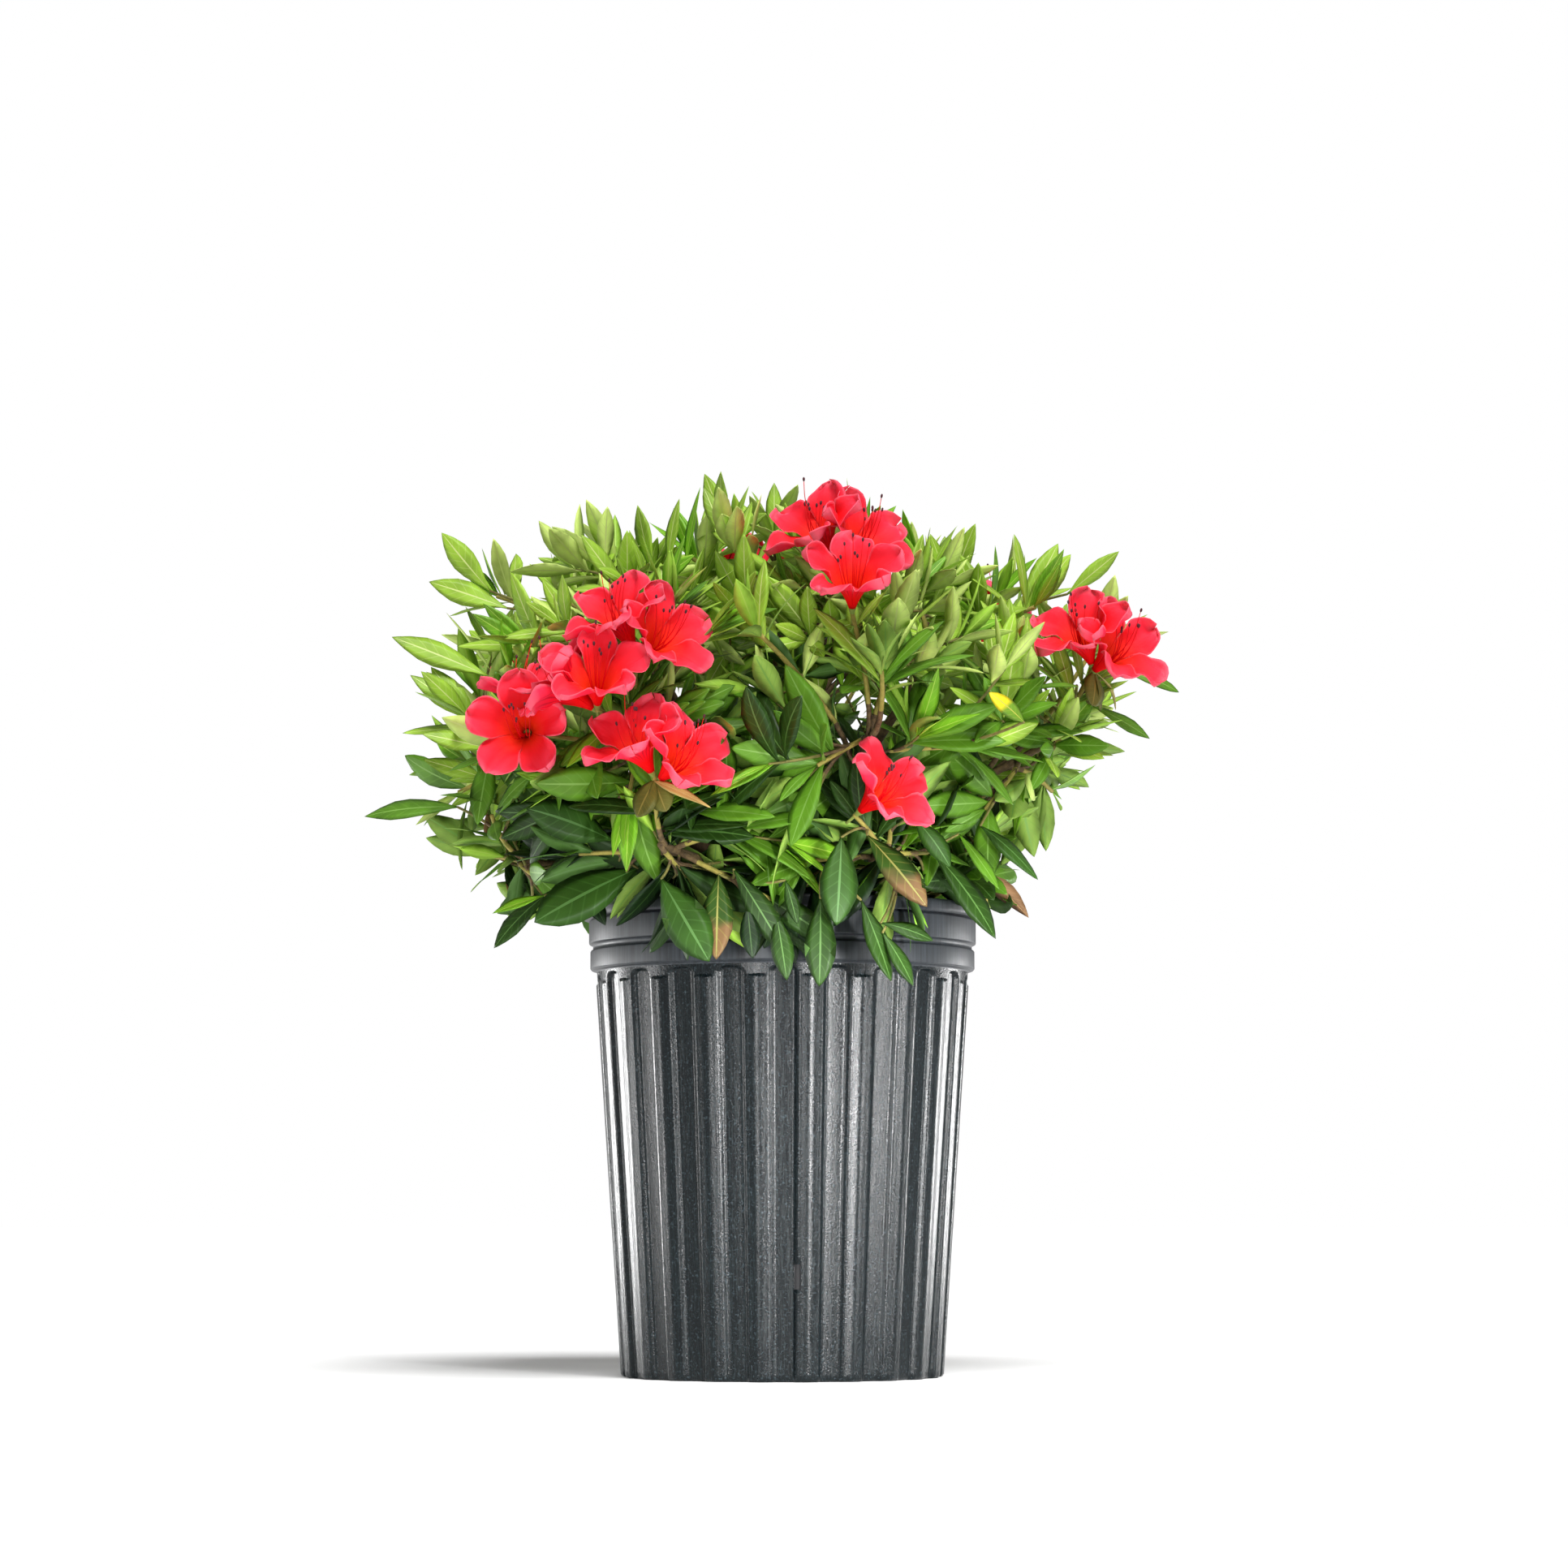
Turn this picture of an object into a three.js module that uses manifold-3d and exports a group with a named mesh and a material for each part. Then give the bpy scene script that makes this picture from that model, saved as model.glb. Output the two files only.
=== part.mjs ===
// Azalea shrub in a fluted nursery pot.
// Millimetres, +Z up. The origin is the middle of the pot's flat underside.
// Azimuths are in degrees, from the front (-Y) towards +X; elevations are above the level.
import * as THREE from 'three';
import { mergeVertices } from 'three/addons/utils/BufferGeometryUtils.js';
import Module from 'manifold-3d';

const wasm = await Module();
wasm.setup();

const DEGREE = Math.PI / 180;
const GOLDEN_ANGLE = Math.PI * (3 - Math.sqrt(5));
const GAP = 0.3;
const SIDE_GUIDE = new THREE.Vector3(0.31, 0.17, 0.93);

// ---- Pot ----
const POT_HEIGHT = 325;
const FOOT_RADIUS = 110.6;
const BODY_FLARE = 0.0672;
const FLUTES = 22;
const FLUTE_SHARES = [0, 0.44, 0.52, 0.92];
const FLUTE_START = 5.04;
const FLUTE_DEPTH = 3.2;
const FLUTE_TOP = 272;
const WALL = 2.2;
const SHOULDER = FLUTE_TOP - 4;
const FLOOR = 3.5;
const LIP_RADIUS = 140;
const LIP_ROUND = 3;
const LIP_WIDTH = 7;
const UPPER_BAND = { radius: 135, bottom: 299, top: 316 };
const LOWER_BAND = { radius: 134, bottom: 281, top: 294 };
const GROOVE_RADIUS = 132.2;
const SLOT = { width: 4, height: 17, depth: 24, middle: 70, flutes: [0, 6, 11, 17] };

// ---- Potting soil ----
const SOIL_MIDDLE = 298;
const SOIL_EDGE = 293;
const SOIL_FLAT_RADIUS = 32;
const SOIL_SIDES = 24;
const SOIL_CLEAR = 0.6;

// ---- Trunk and boughs ----
const TRUNK_TOP = 398;
const TRUNK_SIDES = 10;
const TRUNK_LEAN = 5;
const TRUNK_RADII = [[0, 18], [0.06, 14.5], [0.18, 12], [0.5, 10.5], [0.85, 9], [1, 7]];
const BOUGH_SIDES = 4;
const BOUGH_STEPS = 3;
const BOUGH_RADII = [4.6, 3.4];
const BOUGH_BEND = 0.45;

// ---- Crown: its outer surface is a squared dome over a narrower skirt ----
const CROWN_FOCUS = new THREE.Vector3(-4, 0, 338);
const CROWN_RADIUS = 290;
const CROWN_SQUARENESS = 3.2;
const CROWN_DEPTH_SHARE = 0.96;
const SKIRT_RADIUS = 206;
const SKIRT_SHIFT = 12;
const SKIRT_LINE = 13;
const SKIRT_TILT = 6;
const SKIRT_BLEND = 9;
const CROWN_LOWEST = -7;
const CROWN_SLACK = 1.03;
const HANG_FRONT = 276;
const HANG_SIDE = 318;
const HANG_TURN = [0.5, 0.8];
const HANG_REACH = 195;
const HANG_RISE = 0.8;

// ---- Masses of foliage, tier by tier from the top ----
const TIERS = [
  { name: 'top', count: 1, elevation: 90, turn: 0, fork: 396 },
  { name: 'upper', count: 5, elevation: 56, turn: 17, fork: 376 },
  { name: 'shoulder', count: 7, elevation: 26, turn: -31, fork: 348 },
  { name: 'skirt', count: 7, elevation: 5, turn: -24, fork: 322 },
];
const STEM_START = 125;
const STEM_SHARE = 0.6;
const STEM_RADII = [5.6, 4.6];
const SHOOTS = 90;
const SHOOT_RADII = [2.3, 1.9];
const SHOOT_STRAY = 0.2;
const SHOOT_DEPTH = [44, 82];
const SKIRT_SHOOT_DEPTH = [34, 52];
const FIRST_FORK = 0.3;
const LAST_FORK = 0.95;
const CELL_MARGIN = 0.4;
const STEM_SEED = 500;
const TRUSS_SEED = 1000;

// ---- Leaves ----
const SHOOT_LEAVES = { leaves: 5, bare: 2, step: 5, open: [0.65, 1.15] };
const TRUSS_LEAVES = { leaves: 3, bare: 14, step: 6, open: [1.1, 1.5] };
const STEM_LEAVES = { leaves: 2, bare: 10, step: 30, open: [0.8, 1.2] };
const LATER_LEAF_OPENS = 0.07;
const TRY_TURN = 1.1;
const TRY_CLOSES = 0.05;
const TRY_SHORTENS = 0.025;
const ROOT_CLEAR = 6;
const LEAF_TRIES = 12;
const LEAF_RISE = 0.25;
const LEAF_HANG = [0.35, 0.1];
const LEADING_LEAF = 0.35;
const SKIRT_LEVEL = 0.2;
const TOUCH = 1e-3;
const LEAF_LENGTH = [60, 78];
const LEAF = { width: 0.39, widest: 0.46, fold: 0.16, droop: 0.1, thickness: 1.5 };
const LEAF_SINK = 0.5;
const LEAF_CLEAR = 2;
const LEAF_FACES_BACK = 0.4;
const LEAF_FACES_UP = 0.5;

// ---- Blossom: trusses at shoot tips, each bloom facing [azimuth, elevation] ----
const BLOOM_RADIUS = 33;
const BLOOM_LENGTH = 40;
const BLOOM_BARE = 1.5;
const BLOOM_STEP = 5;
const BLOOM_NOTCH_SHARE = 0.66;
const BLOOM_LOBES = 5;
const BLOOM_THROAT = [7, 20];
const BLOOM_DEPTH = 18;
const BLOOM_SINK = 0.4;
const TRUSSES = [
  { azimuth: 17, elevation: 56, depth: 68, blooms: [[-42, 44], [44, 38]] },
  { azimuth: 13, elevation: 37, depth: 50, blooms: [[0, 45]] },
  { azimuth: -25, elevation: 33, depth: 62, blooms: [[-38, 50], [38, 28]] },
  { azimuth: -28.5, elevation: 22.5, depth: 42, blooms: [[0, 42], [-80, 35]] },
  { azimuth: -44, elevation: 21, depth: 52, blooms: [[-8, 0], [-30, 72]] },
  { azimuth: -20, elevation: 14, depth: 36, blooms: [[-34, 44], [42, 30]] },
  { azimuth: 69, elevation: 32, depth: 46, blooms: [[-26, 46], [44, 32]] },
  { azimuth: 16, elevation: 11, depth: 32, blooms: [[46, 30]] },
  { azimuth: 136, elevation: 44, depth: 54, blooms: [[110, 60], [165, 30]] },
  { azimuth: 146, elevation: 22, depth: 48, blooms: [[110, 50], [-170, 30]] },
  { azimuth: -170, elevation: 55, depth: 54, blooms: [[150, 50], [-120, 45]] },
  { azimuth: -128, elevation: 30, depth: 50, blooms: [[-165, 45], [-90, 40]] },
  { azimuth: -152, elevation: 8, depth: 40, blooms: [[-140, 40]] },
  { azimuth: 178, elevation: 12, depth: 36, blooms: [[-150, 40]] },
];

function chance(index, salt) {
  const wave = Math.sin(index * 12.9898 + salt * 78.233) * 43758.5453;
  return wave - Math.floor(wave);
}

function between(range, share) {
  return range[0] + (range[1] - range[0]) * share;
}

function heading(azimuth, elevation) {
  const level = Math.cos(elevation);
  return new THREE.Vector3(
    level * Math.sin(azimuth),
    -level * Math.cos(azimuth),
    Math.sin(elevation),
  );
}

// ---- From three.js geometries to solids and back ----
function toSolid(geometry) {
  const bare = geometry.clone();
  bare.deleteAttribute('normal');
  bare.deleteAttribute('uv');
  const merged = mergeVertices(bare, 1e-4);
  return new wasm.Manifold(new wasm.Mesh({
    numProp: 3,
    vertProperties: new Float32Array(merged.attributes.position.array),
    triVerts: new Uint32Array(merged.index.array),
  }));
}

function toGeometry(solid) {
  const mesh = solid.getMesh();
  const geometry = new THREE.BufferGeometry();
  geometry.setAttribute('position', new THREE.BufferAttribute(mesh.vertProperties, 3));
  geometry.setIndex(new THREE.BufferAttribute(mesh.triVerts, 1));
  geometry.computeVertexNormals();
  return geometry;
}

function fuse(solids) {
  return solids.reduce((whole, solid) => whole.add(solid));
}

// A tube of given sides that tapers evenly along a curve, with flat ends.
function taperedTube(curve, radii, sides, steps) {
  const tube = new THREE.CylinderGeometry(1, 1, 1, sides, steps);
  const place = tube.attributes.position;
  const start = curve.getTangentAt(0);
  const side = new THREE.Vector3().crossVectors(start, SIDE_GUIDE).normalize();
  for (let i = 0; i < place.count; i += 1) {
    const along = THREE.MathUtils.clamp(place.getY(i) + 0.5, 0, 1);
    const tangent = curve.getTangentAt(along);
    const across = side.clone().addScaledVector(tangent, -side.dot(tangent)).normalize();
    const upward = new THREE.Vector3().crossVectors(tangent, across);
    const radius = between(radii, along);
    const point = curve.getPointAt(along)
      .addScaledVector(across, -place.getX(i) * radius)
      .addScaledVector(upward, place.getZ(i) * radius);
    place.setXYZ(i, point.x, point.y, point.z);
  }
  return tube;
}

function straightTube(from, to, radii, sides) {
  return taperedTube(new THREE.LineCurve3(from, to), radii, sides, 1);
}

// ---- Pot and soil ----
function bodyRadius(level) {
  return FOOT_RADIUS + BODY_FLARE * level;
}

function insideRadius(level) {
  return bodyRadius(level) - FLUTE_DEPTH - WALL;
}

// Turns a profile of [radius, level] about +Z.
function turnedOnZ(profile, sides) {
  const points = profile.map(([radius, level]) => new THREE.Vector2(radius, level));
  return new THREE.LatheGeometry(points, sides).rotateX(Math.PI / 2);
}

// The turned pot, with its sides shared out unevenly over ridge and groove, and the two lowest
// outer rings pushed in at the grooves.
function potGeometry() {
  const profile = [
    [0, 0],
    [bodyRadius(0), 0],
    [bodyRadius(FLUTE_TOP), FLUTE_TOP],
    [LOWER_BAND.radius, LOWER_BAND.bottom],
    [LOWER_BAND.radius, LOWER_BAND.top],
    [GROOVE_RADIUS, (LOWER_BAND.top + UPPER_BAND.bottom) / 2],
    [UPPER_BAND.radius, UPPER_BAND.bottom],
    [UPPER_BAND.radius, UPPER_BAND.top],
    [LIP_RADIUS, UPPER_BAND.top],
    [LIP_RADIUS, POT_HEIGHT - LIP_ROUND],
    [LIP_RADIUS - LIP_ROUND, POT_HEIGHT],
    [LIP_RADIUS - LIP_WIDTH, POT_HEIGHT],
    [insideRadius(SHOULDER), SHOULDER],
    [insideRadius(0), FLOOR],
    [0, FLOOR],
  ];
  const sides = FLUTES * FLUTE_SHARES.length;
  const pot = turnedOnZ(profile, sides);
  const place = pot.attributes.position;
  const pitch = 360 / FLUTES;
  for (let i = 0; i < place.count; i += 1) {
    const ring = i % profile.length;
    const spoke = Math.floor(i / profile.length) % sides;
    const corner = spoke % FLUTE_SHARES.length;
    const flute = Math.floor(spoke / FLUTE_SHARES.length);
    const turn = (FLUTE_START + pitch * (flute + FLUTE_SHARES[corner])) * DEGREE;
    const inGroove = corner >= 2;
    const fluted = ring === 1 || ring === 2;
    const radius = profile[ring][0] - (fluted && inGroove ? FLUTE_DEPTH : 0);
    place.setXYZ(i, radius * Math.sin(turn), -radius * Math.cos(turn), profile[ring][1]);
  }
  return pot;
}

function slotCutter(flute) {
  const turn = (FLUTE_START + flute * 360 / FLUTES) * DEGREE;
  const middle = heading(turn, 0).multiplyScalar(bodyRadius(SLOT.middle));
  return new THREE.BoxGeometry(SLOT.width, SLOT.depth, SLOT.height)
    .rotateZ(turn)
    .translate(middle.x, middle.y, SLOT.middle);
}

function makePot() {
  let pot = toSolid(potGeometry());
  for (const flute of SLOT.flutes) {
    pot = pot.subtract(toSolid(slotCutter(flute)));
  }
  return pot;
}

function makeSoil() {
  const bottom = FLOOR + GAP;
  return toSolid(turnedOnZ([
    [0, bottom],
    [insideRadius(0) - SOIL_CLEAR, bottom],
    [insideRadius(SHOULDER) - SOIL_CLEAR, SHOULDER],
    [insideRadius(SOIL_EDGE) - SOIL_CLEAR, SOIL_EDGE],
    [SOIL_FLAT_RADIUS, SOIL_MIDDLE],
    [0, SOIL_MIDDLE],
  ], SOIL_SIDES));
}

// ---- Trunk and boughs ----
function trunkMiddle(level) {
  const share = (level - SOIL_MIDDLE) / (TRUNK_TOP - SOIL_MIDDLE);
  return new THREE.Vector3(CROWN_FOCUS.x - TRUNK_LEAN * (1 - share), 0, level);
}

function makeTrunk(extra) {
  const bottom = SOIL_MIDDLE + GAP;
  const tall = TRUNK_TOP - bottom;
  const rings = TRUNK_RADII.map(([share, radius]) => [radius + extra, bottom + share * tall]);
  const trunk = turnedOnZ([[0, bottom], ...rings, [0, TRUNK_TOP]], TRUNK_SIDES);
  const place = trunk.attributes.position;
  for (let i = 0; i < place.count; i += 1) {
    const middle = trunkMiddle(place.getZ(i));
    place.setXYZ(i, place.getX(i) + middle.x, place.getY(i) + middle.y, place.getZ(i));
  }
  return toSolid(trunk);
}

function makeBough(mass, aroundTrunk, extra) {
  const start = trunkMiddle(mass.forkLevel);
  const end = CROWN_FOCUS.clone().addScaledVector(mass.axis, STEM_START - GAP);
  const bend = end.clone().addScaledVector(mass.axis, -start.distanceTo(end) * BOUGH_BEND);
  const curve = new THREE.QuadraticBezierCurve3(start, bend, end);
  const radii = BOUGH_RADII.map((radius) => radius + extra);
  return toSolid(taperedTube(curve, radii, BOUGH_SIDES, BOUGH_STEPS)).subtract(aroundTrunk);
}

// ---- Crown ----
function crownReach(azimuth, elevation) {
  const across = Math.cos(elevation) ** CROWN_SQUARENESS;
  const upward = Math.abs(Math.sin(elevation)) ** CROWN_SQUARENESS;
  const dome = CROWN_RADIUS / (across + upward) ** (1 / CROWN_SQUARENESS);
  const line = SKIRT_LINE + SKIRT_TILT * Math.sin(azimuth);
  const above = THREE.MathUtils.smoothstep(elevation / DEGREE, line - SKIRT_BLEND, line + SKIRT_BLEND);
  const skirt = SKIRT_RADIUS - SKIRT_SHIFT * Math.sin(azimuth);
  return skirt + (dome - skirt) * above;
}

function crownPoint(azimuth, elevation, depth) {
  const offset = heading(azimuth, elevation).multiplyScalar(crownReach(azimuth, elevation) - depth);
  offset.y *= CROWN_DEPTH_SHARE;
  return offset.add(CROWN_FOCUS);
}

// The level down to which leaves hang: lowest at front and back, higher beside the pot, and
// rising outwards past the skirt.
function lowestLeaf(azimuth, outward) {
  const beside = THREE.MathUtils.smoothstep(Math.abs(Math.sin(azimuth)), ...HANG_TURN);
  return between([HANG_FRONT, HANG_SIDE], beside) + HANG_RISE * Math.max(0, outward - HANG_REACH);
}

// Whether a point is under the crown's outer surface and no lower than the leaves hang.
function inCrown(point) {
  const offset = point.clone().sub(CROWN_FOCUS);
  offset.y /= CROWN_DEPTH_SHARE;
  const reach = offset.length();
  const azimuth = Math.atan2(offset.x, -offset.y);
  return point.z > lowestLeaf(azimuth, Math.hypot(offset.x, offset.y))
    && reach < crownReach(azimuth, Math.asin(offset.z / reach)) * CROWN_SLACK;
}

function layOutMasses() {
  const masses = [];
  for (const tier of TIERS) {
    for (let i = 0; i < tier.count; i += 1) {
      const azimuth = (tier.turn + i * 360 / tier.count) * DEGREE;
      masses.push({
        name: `foliage_${tier.name}_${i + 1}`,
        boughName: `bough_${tier.name}_${i + 1}`,
        forkLevel: tier.fork,
        axis: heading(azimuth, tier.elevation * DEGREE),
        index: masses.length,
        shoots: [],
        trusses: [],
      });
    }
  }
  return masses;
}

function inCell(mass, masses, point) {
  const offset = point.clone().sub(CROWN_FOCUS);
  return masses.every((other) => {
    if (other === mass) {
      return true;
    }
    const wall = mass.axis.clone().sub(other.axis).normalize();
    return offset.dot(wall) > CELL_MARGIN;
  });
}

function nearestMass(masses, point) {
  const offset = point.clone().sub(CROWN_FOCUS);
  return masses.reduce((best, mass) => (offset.dot(mass.axis) > offset.dot(best.axis) ? mass : best));
}

// Shoot tips lie on a golden-angle spiral over the crown, a little uneven in depth.
function shootTip(index) {
  const lowest = Math.sin(CROWN_LOWEST * DEGREE);
  const height = 1 - (1 - lowest) * (index + 0.5) / SHOOTS;
  const azimuth = index * GOLDEN_ANGLE + (chance(index, 1) - 0.5) * SHOOT_STRAY;
  const hanging = height < SKIRT_LEVEL;
  const depth = between(hanging ? SKIRT_SHOOT_DEPTH : SHOOT_DEPTH, chance(index, 2));
  return { index, point: crownPoint(azimuth, Math.asin(height), depth) };
}

// How far a point is from the line of the mass's stem.
function aside(mass, point) {
  const offset = point.clone().sub(CROWN_FOCUS);
  return offset.addScaledVector(mass.axis, -offset.dot(mass.axis)).length();
}

function leafSolid(root, direction, faceUp, length) {
  const width = length * LEAF.width;
  const leaf = new THREE.OctahedronGeometry(1);
  const place = leaf.attributes.position;
  const side = new THREE.Vector3().crossVectors(faceUp, direction).normalize();
  const upward = new THREE.Vector3().crossVectors(direction, side);
  for (let i = 0; i < place.count; i += 1) {
    const ends = Math.abs(place.getX(i)) > 0.5;
    const along = ends ? (place.getX(i) + 1) / 2 : LEAF.widest;
    const fold = Math.abs(place.getY(i)) * width * LEAF.fold;
    const droop = along === 1 ? length * LEAF.droop : 0;
    const point = root.clone()
      .addScaledVector(direction, along * length)
      .addScaledVector(side, place.getY(i) * width / 2)
      .addScaledVector(upward, place.getZ(i) * LEAF.thickness / 2 + fold - droop);
    place.setXYZ(i, point.x, point.y, point.z);
  }
  return leaf;
}

function cornersOf(geometry) {
  const place = geometry.attributes.position;
  return Array.from({ length: place.count }, (_, i) => new THREE.Vector3().fromBufferAttribute(place, i));
}

// The leaf of a given order on a twig, back from its tip. Leaves turn round the twig by the
// golden angle, the first one nearly in line with it. They rise in the crown and hang at the
// skirt. Each new attempt turns the leaf on, closes it and makes it a little shorter.
function leafOn(twig, order, attempt) {
  const salt = 10 + order * 3;
  const along = twig.point.clone().sub(twig.fork).normalize();
  const side = new THREE.Vector3().crossVectors(along, SIDE_GUIDE).normalize();
  const turn = order * GOLDEN_ANGLE + chance(twig.index, 5) * 2 * Math.PI + attempt * TRY_TURN;
  const spread = between(twig.open, chance(twig.index, salt))
    + LATER_LEAF_OPENS * order - TRY_CLOSES * attempt;
  const open = order === 0 ? spread * LEADING_LEAF : spread;
  const outward = side.clone().applyAxisAngle(along, turn);
  const direction = along.clone().multiplyScalar(Math.cos(open)).addScaledVector(outward, Math.sin(open));
  const heart = twig.point.clone().sub(CROWN_FOCUS).normalize();
  direction.z += heart.z > SKIRT_LEVEL ? LEAF_RISE : -between(LEAF_HANG, heart.x ** 2);
  direction.normalize();
  const faceUp = along.clone().addScaledVector(outward, -LEAF_FACES_BACK);
  faceUp.z += LEAF_FACES_UP;
  const length = between(LEAF_LENGTH, chance(twig.index, salt + 1)) * (1 - TRY_SHORTENS * attempt);
  const root = twig.point.clone()
    .addScaledVector(along, -twig.bare - twig.step * order)
    .addScaledVector(direction, -LEAF_SINK);
  return leafSolid(root, direction, faceUp, length);
}

function bloomSolid(root, facing) {
  const profile = [[0, 0], BLOOM_THROAT, [BLOOM_RADIUS, BLOOM_LENGTH], [0, BLOOM_DEPTH]];
  const bloom = turnedOnZ(profile, 2 * BLOOM_LOBES);
  const place = bloom.attributes.position;
  const turn = new THREE.Quaternion().setFromUnitVectors(new THREE.Vector3(0, 0, 1), facing);
  for (let i = 0; i < place.count; i += 1) {
    const notch = Math.floor(i / profile.length) % 2 === 1 && i % profile.length === 2;
    const share = notch ? BLOOM_NOTCH_SHARE : 1;
    const point = new THREE.Vector3(place.getX(i) * share, place.getY(i) * share, place.getZ(i));
    point.applyQuaternion(turn).add(root);
    place.setXYZ(i, point.x, point.y, point.z);
  }
  return bloom;
}

// Each bloom of a truss starts a little further back on its twig than the one before.
function bloomsOf(truss) {
  const along = truss.point.clone().sub(truss.fork).normalize();
  return truss.blooms.map(([azimuth, elevation], order) => {
    const facing = heading(azimuth * DEGREE, elevation * DEGREE);
    const root = truss.point.clone()
      .addScaledVector(along, -BLOOM_BARE - BLOOM_STEP * order)
      .addScaledVector(facing, -BLOOM_SINK);
    return bloomSolid(root, facing);
  });
}

function isClear(solid, obstacles) {
  return obstacles.every((obstacle) => solid.intersect(obstacle).volume() < TOUCH);
}

// Gives a mass its stem, and the place on it where each shoot and truss forks off: the twig
// that spreads widest leaves first.
function branchOut(mass) {
  const tips = [...mass.trusses, ...mass.shoots];
  const tall = Math.max(...tips.map((tip) => tip.point.distanceTo(CROWN_FOCUS)));
  const base = CROWN_FOCUS.clone().addScaledVector(mass.axis, STEM_START);
  const stemLength = (tall - STEM_START) * STEM_SHARE;
  const top = base.clone().addScaledVector(mass.axis, stemLength);
  mass.stem = { index: mass.index + STEM_SEED, fork: base, point: top, radii: STEM_RADII, ...STEM_LEAVES };
  tips.sort((one, other) => aside(mass, other.point) - aside(mass, one.point));
  for (const [order, tip] of tips.entries()) {
    const share = between([FIRST_FORK, LAST_FORK], order / Math.max(1, tips.length - 1));
    tip.fork = base.clone().addScaledVector(mass.axis, stemLength * share);
    tip.radii = SHOOT_RADII;
    Object.assign(tip, tip.blooms ? TRUSS_LEAVES : SHOOT_LEAVES);
  }
  mass.twigs = [mass.stem, ...tips];
}

// A mass is its stem, the twigs that clear the pot, boughs and blossom, and the leaves that
// find room.
function growMass(mass, masses, keepOut) {
  const twigs = mass.twigs.filter((twig) => {
    twig.solid = toSolid(straightTube(twig.fork, twig.point, twig.radii, 3));
    return twig.blooms || twig === mass.stem || isClear(twig.solid, keepOut);
  });
  const leaves = [];
  for (const twig of twigs) {
    const others = twigs.filter((other) => other !== twig).map((other) => other.solid);
    const obstacles = [fuse(others), ...keepOut];
    const room = twig.point.distanceTo(twig.fork) - twig.bare - ROOT_CLEAR;
    const count = Math.min(twig.leaves, 1 + Math.floor(room / twig.step));
    for (let order = 0; order < count; order += 1) {
      for (let attempt = 0; attempt < LEAF_TRIES; attempt += 1) {
        const geometry = leafOn(twig, order, attempt);
        const leaf = toSolid(geometry);
        const corners = cornersOf(geometry);
        const inside = corners.every((corner) => inCell(mass, masses, corner) && inCrown(corner));
        if (inside && isClear(leaf, [...obstacles, ...leaves])) {
          leaves.push(leaf);
          break;
        }
      }
    }
  }
  const blooms = mass.trusses.flatMap((truss) => bloomsOf(truss).map(toSolid));
  return fuse([...twigs.map((twig) => twig.solid), ...leaves, ...blooms]);
}

const materials = {
  pot: new THREE.MeshStandardMaterial({ color: '#33393c', roughness: 0.5, metalness: 0 }),
  soil: new THREE.MeshStandardMaterial({ color: '#3b2822', roughness: 0.95, metalness: 0 }),
  bark: new THREE.MeshStandardMaterial({ color: '#6a4a35', roughness: 0.85, metalness: 0 }),
  foliage: new THREE.MeshStandardMaterial({ color: '#4f8a3c', roughness: 0.5, metalness: 0 }),
};

const shrub = new THREE.Group();

function addNode(name, solid, material) {
  const mesh = new THREE.Mesh(toGeometry(solid), material);
  mesh.name = name;
  shrub.add(mesh);
}

addNode('pot', makePot(), materials.pot);
addNode('soil', makeSoil(), materials.soil);
addNode('trunk', makeTrunk(0), materials.bark);

const masses = layOutMasses();
for (let i = 0; i < SHOOTS; i += 1) {
  const shoot = shootTip(i);
  nearestMass(masses, shoot.point).shoots.push(shoot);
}
for (const truss of TRUSSES) {
  const point = crownPoint(truss.azimuth * DEGREE, truss.elevation * DEGREE, truss.depth);
  nearestMass(masses, point).trusses.push({ ...truss, index: truss.azimuth + TRUSS_SEED, point });
}

const aroundTrunk = makeTrunk(GAP);
const potKeepOut = toSolid(turnedOnZ([
  [0, 0],
  [FOOT_RADIUS, 0],
  [LIP_RADIUS + LEAF_CLEAR, FLUTE_TOP],
  [LIP_RADIUS + LEAF_CLEAR, POT_HEIGHT + LEAF_CLEAR],
  [0, POT_HEIGHT + LEAF_CLEAR],
], SOIL_SIDES));
for (const mass of masses) {
  addNode(mass.boughName, makeBough(mass, aroundTrunk, 0), materials.bark);
}
masses.forEach(branchOut);
const allBlooms = masses.flatMap((mass) => mass.trusses).flatMap(bloomsOf);
const limbs = fuse(masses.map((mass) => makeBough(mass, aroundTrunk, 2 * GAP)));
const keepOut = [potKeepOut, fuse(allBlooms.map(toSolid)), limbs];
for (const mass of masses) {
  addNode(mass.name, growMass(mass, masses, keepOut), materials.foliage);
}

export default shrub;
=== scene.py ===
"""The looks of a potted azalea shrub: fluted pot, bark mix, trunk and boughs, twigs, leaves, blossom.

Lengths are millimetres and become metres when a piece is made. The front is -Y. An azimuth turns
from the front towards +X, and an elevation rises above the level.
"""

import math

import bpy
import numpy as np
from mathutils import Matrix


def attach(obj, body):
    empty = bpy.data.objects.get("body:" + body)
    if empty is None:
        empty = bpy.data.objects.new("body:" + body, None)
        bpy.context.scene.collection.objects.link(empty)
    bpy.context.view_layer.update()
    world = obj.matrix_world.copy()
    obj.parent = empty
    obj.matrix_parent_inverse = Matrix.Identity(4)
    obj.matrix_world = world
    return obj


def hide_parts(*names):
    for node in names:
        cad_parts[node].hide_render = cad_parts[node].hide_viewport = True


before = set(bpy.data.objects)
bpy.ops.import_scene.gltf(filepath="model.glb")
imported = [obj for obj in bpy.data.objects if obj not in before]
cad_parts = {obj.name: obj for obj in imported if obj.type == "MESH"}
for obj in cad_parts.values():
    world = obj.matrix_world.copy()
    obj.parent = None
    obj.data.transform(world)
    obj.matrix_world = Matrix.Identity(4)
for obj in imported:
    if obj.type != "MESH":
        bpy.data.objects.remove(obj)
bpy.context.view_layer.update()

MM = 0.001
DEGREE = math.pi / 180
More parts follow.
